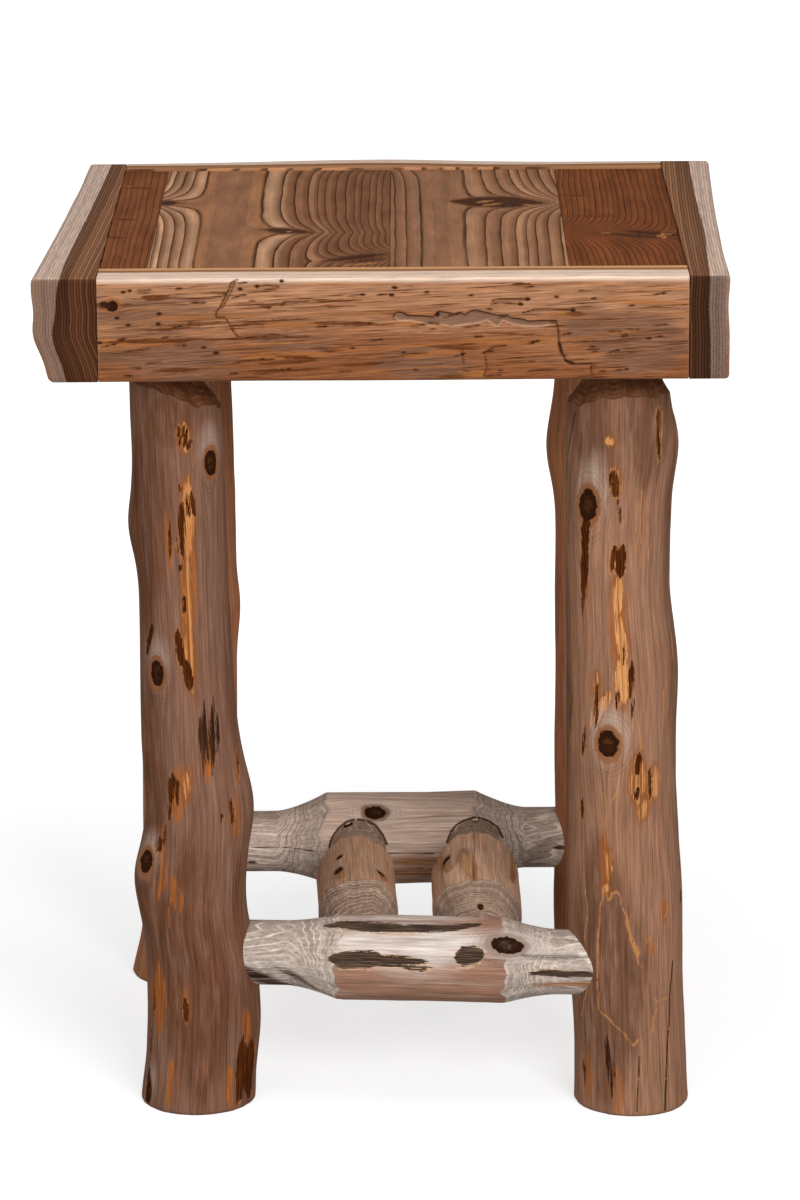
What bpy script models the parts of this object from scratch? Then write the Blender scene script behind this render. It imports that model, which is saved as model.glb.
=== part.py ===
"""A rustic log nightstand.

A frame of live-edged slab rails holds four planks on two bearers and two cleats.
Four log legs are tenoned into the bearers, and two log stretchers with two log
rungs between them make the foot rack. Metres, +Z up, the front towards -Y, the
origin on the floor under the middle of the top.
"""

import math
from collections import namedtuple

import bmesh
import bpy
from mathutils import Matrix, Vector

# Whole nightstand
HEIGHT = 0.650
CLEARANCE = 0.0003

# Planks of the top, from left to right
NARROW_PLANK_WIDTH = 0.0340
BROAD_PLANK_WIDTH = 0.1755
MIDDLE_PLANK_WIDTH = 0.1295
RIGHT_PLANK_WIDTH = 0.0845
PLANK_LENGTH = 0.392
PLANK_THICKNESS = 0.024
PLANK_DROP = 0.002
PLANK_ARRIS = 0.001

# Slab rails round the top: their outer faces are the natural edge of the tree
RAIL_HEIGHT = 0.0765
FRONT_RAIL_THICKNESS = 0.0345
FRONT_RAIL_HOLLOW = 0.0012
REAR_RAIL_END_THICKNESS = 0.0235
REAR_RAIL_MIDDLE_THICKNESS = 0.0375
LEFT_RAIL_FRONT_THICKNESS = 0.0463
LEFT_RAIL_REAR_THICKNESS = 0.0298
LEFT_WANE_HEIGHT = 0.052
LEFT_WANE_SHARE = 0.36
RIGHT_RAIL_FRONT_THICKNESS = 0.0288
RIGHT_RAIL_REAR_THICKNESS = 0.0387
RAIL_ARRIS = 0.002

# Shapes of the natural edges: powers of a share along a rail, and where the rear slab swells
LEFT_RAIL_CURVE = 1.25
LEFT_WANE_CURVE = 1.9
RIGHT_RAIL_CURVE = 1.7
REAR_SWELL_SHARE = 0.48
REAR_SWELL_LEFT_REACH = 0.27
REAR_SWELL_RIGHT_REACH = 0.17

# Bearers and cleats under the planks
BEARER_THICKNESS = 0.038
BEARER_WALL = 0.0205
CLEAT_WIDTH = 0.038
CLEAT_HEIGHT = 0.038

# Legs
LEG_RADIUS = 0.041
LEG_INSET = 0.043
LEG_TENON_RADIUS = 0.024
FRONT_LEG_NECK = 0.010
FRONT_LEG_SHAVE = 0.029
REAR_LEG_NECK = 0.026
REAR_LEG_SHAVE = 0.038
FOOT_EASE = 0.0015

# Foot rack
RACK_HEIGHT = 0.110
FRONT_STRETCHER_RADIUS = 0.0320
REAR_STRETCHER_RADIUS = 0.0372
STRETCHER_TENON_RADIUS = 0.0245
STRETCHER_TENON_DEPTH = 0.038
STRETCHER_SHAVE = 0.040
FRONT_LEFT_NECK = 0.024
FRONT_LEFT_RISE = 0.004
FRONT_RIGHT_NECK = 0.010
FRONT_RIGHT_RISE = 0.000
REAR_LEFT_NECK = 0.030
REAR_LEFT_RISE = -0.0035
REAR_RIGHT_NECK = 0.024
REAR_RIGHT_RISE = -0.0015
FRONT_LEFT_STAND = -0.004
FRONT_RIGHT_STAND = 0.0107
REAR_LEFT_STAND = 0.003
REAR_RIGHT_STAND = 0.003
LEFT_RUNG_RADIUS = 0.0305
RIGHT_RUNG_RADIUS = 0.0345
LEFT_RUNG_X = -0.028
RIGHT_RUNG_X = 0.066
RUNG_TENON_RADIUS = 0.0225
RUNG_TENON_DEPTH = 0.024
RUNG_NECK = 0.003
RUNG_SHAVE = 0.060

# Screws
SCREW_RADIUS = 0.0025
SCREW_HEAD_RADIUS = 0.0045
SCREW_HEAD_HEIGHT = 0.0025
SCREW_POINT = 0.005
SCREW_GRIP = 0.022
SCREW_COVER = 0.008
CLEAT_RAIL_SCREW_SHARES = (0.2, 0.8)
CLEAT_PLANK_SCREW_SHARES = (0.35, 0.65)
COUNTERBORE_PLAY = 0.001
CUTTER_OVERSHOOT = 0.002

# Facets
LEG_SIDES = 20
RACK_SIDES = 16
BORE_SIDES = 20
SCREW_SIDES = 8
RING_STEP = 0.026
SHAVE_RINGS = 3
RAIL_STATIONS = 12
RAIL_LEVELS = 5
RAIL_ARRIS_SEGMENTS = 2
LOG_SHARP_ANGLE = math.radians(35)
RAIL_BEVEL_ANGLE = math.radians(40)
MERGE_DISTANCE = 0.00001

# A knot's swelling is this much longer along the log than round it
KNOT_STRETCH = 1.4

# A knot swells the log at a share of its length and at an angle from the log's own +X, and a
# negative lift makes a hollow
Knot = namedtuple("Knot", "share angle lift reach")
# A tenon is a straight round end, and the shave is the taper that leads down to it
Tenon = namedtuple("Tenon", "length shave offset")
# Stations are (share of the length, share of the radius, sway along own X, sway along own Y)
Log = namedtuple("Log", "length radius tenon_radius bottom top stations knots")

FRONT_LEFT_STATIONS = (
    (0.00, 1.070, 0.0179, -0.0025),
    (0.07, 1.005, 0.0202, -0.0020),
    (0.17, 1.000, 0.0212, -0.0015),
    (0.25, 0.955, 0.0165, -0.0010),
    (0.36, 0.935, 0.0195, -0.0005),
    (0.43, 0.910, 0.0168, 0.0000),
    (0.52, 0.850, 0.0145, 0.0000),
    (0.63, 0.808, 0.0133, 0.0000),
    (0.73, 0.830, 0.0115, 0.0000),
    (0.85, 0.820, 0.0095, 0.0000),
    (1.00, 0.815, 0.0095, 0.0000),
)
FRONT_LEFT_KNOTS = (
    Knot(0.10, -10, 0.0045, 0.024),
    Knot(0.29, 200, 0.0075, 0.021),
    Knot(0.38, -5, 0.0055, 0.024),
    Knot(0.72, 185, 0.0050, 0.019),
)
FRONT_RIGHT_STATIONS = (
    (0.00, 1.050, 0.0075, -0.0115),
    (0.07, 1.027, 0.0061, -0.0100),
    (0.17, 1.034, 0.0031, -0.0075),
    (0.26, 1.041, 0.0024, -0.0050),
    (0.38, 1.000, -0.0003, -0.0030),
    (0.46, 0.993, -0.0011, -0.0020),
    (0.55, 1.010, -0.0009, -0.0015),
    (0.65, 0.944, -0.0046, -0.0010),
    (0.75, 0.960, -0.0041, 0.0000),
    (0.82, 1.025, -0.0014, 0.0000),
    (1.00, 1.015, 0.0000, 0.0000),
)
FRONT_RIGHT_KNOTS = (
    Knot(0.42, 262, 0.0040, 0.022),
    Knot(0.72, 235, 0.0035, 0.024),
    Knot(0.898, 0, -0.0170, 0.0195),
)
REAR_LEFT_STATIONS = (
    (0.00, 1.070, -0.0030, -0.0160),
    (0.07, 0.970, 0.0015, -0.0110),
    (0.42, 0.935, 0.0030, -0.0080),
    (0.75, 0.935, 0.0022, -0.0060),
    (1.00, 0.930, 0.0000, -0.0040),
)
REAR_LEFT_KNOTS = (
    Knot(0.31, 100, 0.0045, 0.022),
    Knot(0.49, 5, 0.0035, 0.020),
)
REAR_RIGHT_STATIONS = (
    (0.00, 1.000, -0.0020, -0.0100),
    (0.28, 0.945, -0.0033, -0.0090),
    (0.52, 0.945, -0.0033, -0.0080),
    (0.75, 0.960, -0.0038, -0.0060),
    (1.00, 0.930, -0.0038, -0.0040),
)
REAR_RIGHT_KNOTS = (
    Knot(0.28, 60, 0.0045, 0.022),
    Knot(0.70, 185, 0.0075, 0.024),
)
FRONT_STRETCHER_STATIONS = (
    (0.00, 0.970, 0.0000, 0.0000),
    (0.35, 1.000, -0.0010, 0.0000),
    (0.65, 1.000, -0.0005, 0.0000),
    (1.00, 0.970, 0.0000, 0.0000),
)
FRONT_STRETCHER_KNOTS = (Knot(0.730, 262, 0.0025, 0.018),)
REAR_STRETCHER_STATIONS = (
    (0.00, 0.960, 0.0000, 0.0000),
    (0.45, 1.000, 0.0010, 0.0000),
    (0.75, 0.985, 0.0000, 0.0000),
    (1.00, 0.960, 0.0000, 0.0000),
)
REAR_STRETCHER_KNOTS = (Knot(0.390, 215, 0.0030, 0.018),)
LEFT_RUNG_STATIONS = (
    (0.00, 1.000, 0.0040, 0.0000),
    (0.50, 1.010, 0.0000, -0.0010),
    (1.00, 0.970, -0.0040, 0.0000),
)
LEFT_RUNG_KNOTS = (Knot(0.330, 300, 0.0030, 0.018),)
RIGHT_RUNG_STATIONS = (
    (0.00, 0.990, 0.0000, 0.0000),
    (0.40, 1.000, -0.0010, 0.0005),
    (1.00, 0.980, 0.0000, 0.0000),
)
RIGHT_RUNG_KNOTS = (Knot(0.420, 235, 0.0030, 0.018),)

# Colours
SLAB_COLOUR = (0.250, 0.125, 0.066)
PLANK_COLOUR = (0.310, 0.165, 0.092)
LOG_COLOUR = (0.165, 0.092, 0.058)
RACK_COLOUR = (0.255, 0.160, 0.105)
LUMBER_COLOUR = (0.560, 0.395, 0.230)
STEEL_COLOUR = (0.540, 0.520, 0.470)
BOARD_ROUGHNESS = 0.70
LOG_ROUGHNESS = 0.75
STEEL_ROUGHNESS = 0.35

# Places worked out from the sizes above
PLANKS = (
    ("narrow_plank", NARROW_PLANK_WIDTH),
    ("broad_plank", BROAD_PLANK_WIDTH),
    ("middle_plank", MIDDLE_PLANK_WIDTH),
    ("right_plank", RIGHT_PLANK_WIDTH),
)
INNER_WIDTH = sum(width for _, width in PLANKS) + (len(PLANKS) + 1) * CLEARANCE
WIDTH = LEFT_RAIL_FRONT_THICKNESS + INNER_WIDTH + RIGHT_RAIL_REAR_THICKNESS
LEFT_X = -WIDTH / 2 + LEFT_RAIL_FRONT_THICKNESS
RIGHT_X = LEFT_X + INNER_WIDTH
INNER_DEPTH = PLANK_LENGTH + 2 * CLEARANCE
DEPTH = FRONT_RAIL_THICKNESS + INNER_DEPTH + REAR_RAIL_MIDDLE_THICKNESS
FRONT_Y = -DEPTH / 2 + FRONT_RAIL_THICKNESS
REAR_Y = FRONT_Y + INNER_DEPTH
SIDE_RAIL_LENGTH = FRONT_RAIL_THICKNESS + INNER_DEPTH + REAR_RAIL_END_THICKNESS
CROSS_LENGTH = INNER_WIDTH - 2 * CLEARANCE
PLANK_TOP = HEIGHT - PLANK_DROP
PLANK_UNDERSIDE = PLANK_TOP - PLANK_THICKNESS
BEARER_TOP = PLANK_UNDERSIDE - CLEARANCE
BEARER_UNDERSIDE = BEARER_TOP - BEARER_THICKNESS
BEARER_WIDTH = 2 * (LEG_TENON_RADIUS + BEARER_WALL)
FRONT_BEARER_Y = FRONT_Y + CLEARANCE + BEARER_WIDTH / 2
REAR_BEARER_Y = REAR_Y - CLEARANCE - BEARER_WIDTH / 2
LEG_X = {"left": LEFT_X + LEG_INSET, "right": RIGHT_X - LEG_INSET}
BEARER_Y = {"front": FRONT_BEARER_Y, "rear": REAR_BEARER_Y}
LEG_LENGTH = BEARER_TOP
COUNTERBORE_RADIUS = SCREW_HEAD_RADIUS + COUNTERBORE_PLAY

LEFT, RIGHT, FRONT, REAR, UP = (Vector(v) for v in (
    (-1, 0, 0), (1, 0, 0), (0, -1, 0), (0, 1, 0), (0, 0, 1)))


def bore_radius(radius):
    """Corner radius of a faceted bore whose flats clear a round tenon."""
    return (radius + CLEARANCE) / math.cos(math.pi / BORE_SIDES)


def clear_scene():
    """Remove the objects of the open scene and make the two collections."""
    for thing in list(bpy.data.objects):
        bpy.data.objects.remove(thing, do_unlink=True)
    collections = []
    for name in ("rustic_nightstand", "cutters"):
        collection = bpy.data.collections.new(name)
        bpy.context.scene.collection.children.link(collection)
        collections.append(collection)
    return collections


PARTS, CUTTERS = clear_scene()
ROOT = bpy.data.objects.new("nightstand_origin", None)
PARTS.objects.link(ROOT)


def add_material(thing, colour, roughness, metallic):
    """Give one part a Principled material of its own."""
    material = bpy.data.materials.new(thing.name + "_finish")
    material.use_nodes = True
    shader = material.node_tree.nodes["Principled BSDF"]
    shader.inputs["Base Color"].default_value = (*colour, 1.0)
    shader.inputs["Roughness"].default_value = roughness
    shader.inputs["Metallic"].default_value = metallic
    thing.data.materials.append(material)


def add_part(name, mesh, colour, roughness=BOARD_ROUGHNESS, metallic=0.0):
    """Link a mesh as a named part under the origin empty."""
    part = bpy.data.objects.new(name, mesh)
    PARTS.objects.link(part)
    part.parent = ROOT
    add_material(part, colour, roughness, metallic)
    return part


def add_cutter(name, mesh):
    """Link a mesh as a cutter, shown as wire and left out of renders."""
    cutter = bpy.data.objects.new(name + "_cutter", mesh)
    CUTTERS.objects.link(cutter)
    cutter.hide_render = True
    cutter.display_type = "WIRE"
    return cutter


def cut(part, cutter):
    """Take the cutter's shape out of a part."""
    boolean = part.modifiers.new(cutter.name, "BOOLEAN")
    boolean.operation = "DIFFERENCE"
    boolean.object = cutter


def mesh_from(bm, name):
    """Turn a bmesh into a mesh."""
    mesh = bpy.data.meshes.new(name)
    bm.to_mesh(mesh)
    bm.free()
    return mesh


def slice_bm(bm, point, normal):
    """Cut a row of edges through a bmesh where a plane meets it."""
    geometry = bm.verts[:] + bm.edges[:] + bm.faces[:]
    bmesh.ops.bisect_plane(bm, geom=geometry, plane_co=point, plane_no=normal)


def new_box(name, low, high, colour, arris):
    """A board between two corners, with eased arrises."""
    low, high = Vector(low), Vector(high)
    bm = bmesh.new()
    bmesh.ops.create_cube(bm, size=1.0)
    bmesh.ops.scale(bm, vec=high - low, verts=bm.verts)
    part = add_part(name, mesh_from(bm, name), colour)
    part.location = (low + high) / 2
    bevel = part.modifiers.new("eased_arrises", "BEVEL")
    bevel.width = arris
    bevel.segments = 1
    return part


def round_cutter(name, radius, start, end):
    """A faceted cylinder between two points, for a bore or a mortise."""
    start, end = Vector(start), Vector(end)
    bm = bmesh.new()
    bmesh.ops.create_cone(
        bm, cap_ends=True, segments=BORE_SIDES, depth=(end - start).length,
        radius1=bore_radius(radius), radius2=bore_radius(radius))
    cutter = add_cutter(name, mesh_from(bm, name))
    cutter.location = (start + end) / 2
    cutter.rotation_euler = (end - start).to_track_quat("Z", "Y").to_euler()
    return cutter


def along(stations, column, share):
    """One station column at a share of the length: a cubic with the neighbours' slopes."""
    last = len(stations) - 1
    after = next((i for i in range(1, last) if share <= stations[i][0]), last)
    before = after - 1

    def slope(i):
        low, high = stations[max(i - 1, 0)], stations[min(i + 1, last)]
        return (high[column] - low[column]) / (high[0] - low[0])

    span = stations[after][0] - stations[before][0]
    t = (share - stations[before][0]) / span
    start, end = stations[before][column], stations[after][column]
    return ((1 + 2 * t) * (1 - t) ** 2 * start + t * (1 - t) ** 2 * span * slope(before)
            + t * t * (3 - 2 * t) * end - t * t * (1 - t) * span * slope(after))


def natural_share(log, z):
    """0 on a tenon and 1 on natural wood, with a straight taper over the shaved length."""
    share = 1.0
    for tenon, distance in ((log.bottom, z), (log.top, log.length - z)):
        if tenon:
            share = min(share, max((distance - tenon.length) / tenon.shave, 0.0))
    return share


def log_centre(log, z):
    """Sway of a log's middle from its own axis, fading to the offset of the nearer tenon."""
    share = natural_share(log, z)
    sway_x, sway_y = (along(log.stations, column, z / log.length) * share for column in (2, 3))
    tenon = log.bottom if log.bottom and z < log.length / 2 else log.top
    return sway_x + tenon.offset * (1 - share), sway_y


def knot_lift(log, knot, z, angle):
    """Swelling of one knot: a bell that is longer along the log than round it."""
    turn = (angle - math.radians(knot.angle) + math.pi) % math.tau - math.pi
    round_it = turn * log.radius / knot.reach
    along_it = (z - knot.share * log.length) / (KNOT_STRETCH * knot.reach)
    return knot.lift * math.exp(-round_it ** 2 - along_it ** 2)


def log_radius(log, z, angle):
    """Radius of a log at a height and an angle: natural wood and knots, shaved towards tenons."""
    natural = log.radius * along(log.stations, 1, z / log.length)
    natural += sum(knot_lift(log, knot, z, angle) for knot in log.knots)
    radius = log.tenon_radius + (natural - log.tenon_radius) * natural_share(log, z)
    if not log.bottom:
        radius -= max(FOOT_EASE - z, 0.0)
    return radius


def ring_heights(log):
    """Heights of a log's rings: the ends of tenons, steps down each shave and even steps between."""
    heights = []
    low, high = FOOT_EASE, log.length
    if log.bottom:
        low = log.bottom.length + log.bottom.shave
        heights += [log.bottom.length + log.bottom.shave * i / SHAVE_RINGS for i in range(SHAVE_RINGS)]
    if log.top:
        high = log.length - log.top.length - log.top.shave
        heights += [high + log.top.shave * (i + 1) / SHAVE_RINGS for i in range(SHAVE_RINGS)]
    steps = max(round((high - low) / RING_STEP), 2)
    return heights + [low + (high - low) * i / steps for i in range(steps + 1)]


def new_log(name, log, sides, colour):
    """A log along its own +Z: a cylinder cut into rings, each ring pushed to the log's radius."""
    bm = bmesh.new()
    bmesh.ops.create_cone(
        bm, cap_ends=True, segments=sides, radius1=1.0, radius2=1.0, depth=log.length,
        matrix=Matrix.Translation((0, 0, log.length / 2)))
    for height in ring_heights(log):
        slice_bm(bm, (0, 0, height), (0, 0, 1))
    for vert in bm.verts:
        z = min(max(vert.co.z, 0.0), log.length)
        angle = math.atan2(vert.co.y, vert.co.x)
        radius = log_radius(log, z, angle)
        sway_x, sway_y = log_centre(log, z)
        vert.co = (sway_x + radius * math.cos(angle), sway_y + radius * math.sin(angle), z)
    mesh = mesh_from(bm, name)
    mesh.shade_smooth()
    mesh.set_sharp_from_angle(angle=LOG_SHARP_ANGLE)
    return add_part(name, mesh, colour, LOG_ROUGHNESS)


def front_rail_thickness(share, drop):
    """Front slab: flat, with a slight natural hollow between its ends."""
    return FRONT_RAIL_THICKNESS - FRONT_RAIL_HOLLOW * math.sin(2 * math.pi * share) ** 2


def rear_rail_thickness(share, drop):
    """Rear slab: a bell-shaped swelling in the middle of its live edge, slower on the left."""
    reach = REAR_SWELL_LEFT_REACH if share < REAR_SWELL_SHARE else REAR_SWELL_RIGHT_REACH
    bell = math.exp(-((share - REAR_SWELL_SHARE) / reach) ** 2)
    return REAR_RAIL_END_THICKNESS + (REAR_RAIL_MIDDLE_THICKNESS - REAR_RAIL_END_THICKNESS) * bell


def left_rail_thickness(share, drop):
    """Left slab, front to rear: it thins towards the rear, and its wane turns in below."""
    rear = 1 - (1 - share) ** LEFT_RAIL_CURVE
    thickness = LEFT_RAIL_FRONT_THICKNESS + (LEFT_RAIL_REAR_THICKNESS - LEFT_RAIL_FRONT_THICKNESS) * rear
    wane = max(0.0, 1 - (RAIL_HEIGHT - drop) / LEFT_WANE_HEIGHT)
    return thickness * (1 - LEFT_WANE_SHARE * wane ** LEFT_WANE_CURVE)


def right_rail_thickness(share, drop):
    """Right slab, rear to front: it thins towards the front."""
    rear = (1 - share) ** RIGHT_RAIL_CURVE
    return RIGHT_RAIL_FRONT_THICKNESS + (RIGHT_RAIL_REAR_THICKNESS - RIGHT_RAIL_FRONT_THICKNESS) * rear


def new_rail(name, length, thickness, corner, turn):
    """A slab rail: a box cut into a grid, whose outer face is pushed to the slab's thickness.

    Its own x runs along it, y points outwards from the inner face and z is 0 at the top.
    """
    bm = bmesh.new()
    bmesh.ops.create_cube(bm, size=1.0, matrix=Matrix.Translation((0.5, 0.5, -0.5)))
    bmesh.ops.scale(bm, vec=(length, 1.0, RAIL_HEIGHT), verts=bm.verts)
    for i in range(1, RAIL_STATIONS):
        slice_bm(bm, (length * i / RAIL_STATIONS, 0, 0), (1, 0, 0))
    for i in range(1, RAIL_LEVELS):
        slice_bm(bm, (0, 0, -RAIL_HEIGHT * i / RAIL_LEVELS), (0, 0, 1))
    for vert in bm.verts:
        if vert.co.y > 0.5:
            share = min(max(vert.co.x / length, 0.0), 1.0)
            vert.co.y = thickness(share, -vert.co.z)
    part = add_part(name, mesh_from(bm, name), SLAB_COLOUR)
    part.location = corner
    part.rotation_euler.z = math.radians(turn)
    bevel = part.modifiers.new("eased_arrises", "BEVEL")
    bevel.width = RAIL_ARRIS
    bevel.segments = RAIL_ARRIS_SEGMENTS
    bevel.limit_method = "ANGLE"
    bevel.angle_limit = RAIL_BEVEL_ANGLE
    return part


def turned_mesh(name, profile):
    """A mesh of one open profile in the XZ plane, listed from the top down."""
    mesh = bpy.data.meshes.new(name)
    points = [(radius, 0.0, z) for radius, z in profile]
    mesh.from_pydata(points, [(i, i + 1) for i in range(len(points) - 1)], [])
    return mesh


def turn(thing, place, heading):
    """Spin a profile round its axis, and aim its point along the heading."""
    screw = thing.modifiers.new("turned", "SCREW")
    screw.axis = "Z"
    screw.steps = SCREW_SIDES
    screw.render_steps = SCREW_SIDES
    screw.use_merge_vertices = True
    screw.merge_threshold = MERGE_DISTANCE
    thing.location = place
    thing.rotation_euler = (-heading).to_track_quat("Z", "Y").to_euler()


def drive_screw(name, face, heading, thickness, bite, carrier, target):
    """A screw through a counterbored carrier into a target, from a point on the carrier's face."""
    sunk = thickness - SCREW_GRIP
    length = SCREW_GRIP + CLEARANCE + bite
    seat = Vector(face) + heading * sunk
    part = add_part(name, turned_mesh(name, (
        (0.0, SCREW_HEAD_HEIGHT),
        (SCREW_HEAD_RADIUS, SCREW_HEAD_HEIGHT),
        (SCREW_HEAD_RADIUS, 0.0),
        (SCREW_RADIUS, 0.0),
        (SCREW_RADIUS, SCREW_POINT - length),
        (0.0, -length),
    )), STEEL_COLOUR, STEEL_ROUGHNESS, metallic=1.0)
    turn(part, seat, heading)
    hole = add_cutter(name, turned_mesh(name + "_hole", (
        (0.0, sunk + CUTTER_OVERSHOOT),
        (COUNTERBORE_RADIUS, sunk + CUTTER_OVERSHOOT),
        (COUNTERBORE_RADIUS, -CLEARANCE),
        (SCREW_RADIUS + CLEARANCE, -CLEARANCE),
        (SCREW_RADIUS + CLEARANCE, SCREW_POINT - length - CLEARANCE),
        (0.0, -length - 2 * CLEARANCE),
    )))
    turn(hole, seat, heading)
    cut(carrier, hole)
    cut(target, hole)


def build_planks():
    """Four planks side by side, running from the front rail to the rear rail."""
    planks = []
    x = LEFT_X + CLEARANCE
    for name, width in PLANKS:
        low = (x, FRONT_Y + CLEARANCE, PLANK_UNDERSIDE)
        high = (x + width, REAR_Y - CLEARANCE, PLANK_TOP)
        planks.append((new_box(name, low, high, PLANK_COLOUR, PLANK_ARRIS), x + width / 2))
        x += width + CLEARANCE
    return planks


def build_rails():
    """Side slabs run the whole depth, and the front and rear slabs stand between them."""
    front_end = FRONT_Y - FRONT_RAIL_THICKNESS
    rear_end = front_end + SIDE_RAIL_LENGTH
    return {
        "left": new_rail("left_rail", SIDE_RAIL_LENGTH, left_rail_thickness,
                         (LEFT_X, front_end, HEIGHT), 90),
        "right": new_rail("right_rail", SIDE_RAIL_LENGTH, right_rail_thickness,
                          (RIGHT_X, rear_end, HEIGHT), -90),
        "front": new_rail("front_rail", CROSS_LENGTH, front_rail_thickness,
                          (RIGHT_X - CLEARANCE, FRONT_Y, HEIGHT), 180),
        "rear": new_rail("rear_rail", CROSS_LENGTH, rear_rail_thickness,
                         (LEFT_X + CLEARANCE, REAR_Y, HEIGHT), 0),
    }


def build_bearers():
    """Two bearers under the ends of the planks, bored through for the legs' tenons."""
    bearers = {}
    for end, y in BEARER_Y.items():
        low = (LEFT_X + CLEARANCE, y - BEARER_WIDTH / 2, BEARER_UNDERSIDE)
        high = (RIGHT_X - CLEARANCE, y + BEARER_WIDTH / 2, BEARER_TOP)
        bearer = new_box(end + "_bearer", low, high, LUMBER_COLOUR, PLANK_ARRIS)
        for side, x in LEG_X.items():
            start = (x, y, BEARER_UNDERSIDE - CUTTER_OVERSHOOT)
            stop = (x, y, BEARER_TOP + CUTTER_OVERSHOOT)
            cut(bearer, round_cutter(f"{end}_{side}_leg_bore", LEG_TENON_RADIUS, start, stop))
        bearers[end] = bearer
    return bearers


def build_cleats():
    """Two cleats along the side rails, between the bearers."""
    low_y = FRONT_BEARER_Y + BEARER_WIDTH / 2 + CLEARANCE
    high_y = REAR_BEARER_Y - BEARER_WIDTH / 2 - CLEARANCE
    cleats = {}
    for side, x in (("left", LEFT_X + CLEARANCE), ("right", RIGHT_X - CLEARANCE - CLEAT_WIDTH)):
        low = (x, low_y, BEARER_TOP - CLEAT_HEIGHT)
        high = (x + CLEAT_WIDTH, high_y, BEARER_TOP)
        cleats[side] = new_box(side + "_cleat", low, high, LUMBER_COLOUR, PLANK_ARRIS)
    return cleats, low_y, high_y


def leg_log(stations, knots, neck, shave):
    """A leg from the floor to the planks, with a tenon that starts below the bearer."""
    tenon = Tenon(BEARER_THICKNESS + neck, shave, 0.0)
    return Log(LEG_LENGTH, LEG_RADIUS, LEG_TENON_RADIUS, None, tenon, stations, knots)


def build_legs():
    """Four legs, each on the axis of its bore."""
    logs = {
        ("front", "left"): leg_log(FRONT_LEFT_STATIONS, FRONT_LEFT_KNOTS, FRONT_LEG_NECK, FRONT_LEG_SHAVE),
        ("front", "right"): leg_log(FRONT_RIGHT_STATIONS, FRONT_RIGHT_KNOTS, FRONT_LEG_NECK, FRONT_LEG_SHAVE),
        ("rear", "left"): leg_log(REAR_LEFT_STATIONS, REAR_LEFT_KNOTS, REAR_LEG_NECK, REAR_LEG_SHAVE),
        ("rear", "right"): leg_log(REAR_RIGHT_STATIONS, REAR_RIGHT_KNOTS, REAR_LEG_NECK, REAR_LEG_SHAVE),
    }
    legs = {}
    for (end, side), log in logs.items():
        leg = new_log(f"{end}_{side}_leg", log, LEG_SIDES, LOG_COLOUR)
        leg.location = (LEG_X[side], BEARER_Y[end], 0)
        legs[end, side] = (leg, log)
    return legs


def build_stretcher(end, radius, stations, knots, necks, rises, stands, legs):
    """A stretcher tenoned into the two legs of one end.

    Its line passes each leg's middle at a stand, measured outwards. Each tenon shows as a neck
    beside the leg, and rises above or drops below the log's middle.
    """
    sides = ("left", "right")
    outwards = 1 if end == "rear" else -1
    middles = []
    for side, stand in zip(sides, stands):
        sway_x, sway_y = log_centre(legs[end, side][1], RACK_HEIGHT)
        middles.append(Vector((LEG_X[side] + sway_x, BEARER_Y[end] + sway_y + outwards * stand, RACK_HEIGHT)))
    heading = (middles[1] - middles[0]).normalized()
    inwards = (heading, -heading)
    faces = []
    tenons = []
    for side, middle, way, neck, rise in zip(sides, middles, inwards, necks, rises):
        reach = log_radius(legs[end, side][1], RACK_HEIGHT, math.atan2(way.y, way.x))
        faces.append(middle + way * reach)
        tenons.append(Tenon(STRETCHER_TENON_DEPTH + neck, STRETCHER_SHAVE, -rise))
    tips = [face - way * STRETCHER_TENON_DEPTH for face, way in zip(faces, inwards)]
    log = Log((tips[1] - tips[0]).length, radius, STRETCHER_TENON_RADIUS, *tenons, stations, knots)
    stretcher = new_log(end + "_stretcher", log, RACK_SIDES, RACK_COLOUR)
    stretcher.location = tips[0]
    stretcher.rotation_euler = (0, math.pi / 2, math.atan2(heading.y, heading.x))
    for side, tip, face, way, neck, rise in zip(sides, tips, faces, inwards, necks, rises):
        bottom = tip - way * CLEARANCE + UP * rise
        mouth = face + way * neck + UP * rise
        mortise = round_cutter(f"{end}_{side}_mortise", STRETCHER_TENON_RADIUS, bottom, mouth)
        cut(legs[end, side][0], mortise)
    return stretcher, log


def stretcher_face(stretcher, log, x, rearwards):
    """Where a stretcher's surface lies along Y at a place along X, on the side towards a rung."""
    slant = stretcher.rotation_euler.z
    step = x - stretcher.location.x
    reach = log_radius(log, step / math.cos(slant), rearwards * math.pi / 2)
    return stretcher.location.y + step * math.tan(slant) + rearwards * reach / math.cos(slant)


def build_rung(side, x, radius, stations, knots, stretchers):
    """A rung along Y, tenoned into both stretchers."""
    front, rear = stretchers["front"], stretchers["rear"]
    front_face = stretcher_face(*front, x, 1)
    rear_face = stretcher_face(*rear, x, -1)
    start, stop = front_face - RUNG_TENON_DEPTH, rear_face + RUNG_TENON_DEPTH
    tenon = Tenon(RUNG_TENON_DEPTH + RUNG_NECK, RUNG_SHAVE, 0.0)
    log = Log(stop - start, radius, RUNG_TENON_RADIUS, tenon, tenon, stations, knots)
    rung = new_log(side + "_rung", log, RACK_SIDES, RACK_COLOUR)
    rung.location = (x, start, RACK_HEIGHT)
    rung.rotation_euler.x = -math.pi / 2
    ends = (("front", start, front_face, 1), ("rear", stop, rear_face, -1))
    for end, tip, face, inwards in ends:
        bottom = (x, tip - inwards * CLEARANCE, RACK_HEIGHT)
        mouth = (x, face + inwards * RUNG_NECK, RACK_HEIGHT)
        mortise = round_cutter(f"{side}_{end}_rung_mortise", RUNG_TENON_RADIUS, bottom, mouth)
        cut(stretchers[end][0], mortise)


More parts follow.
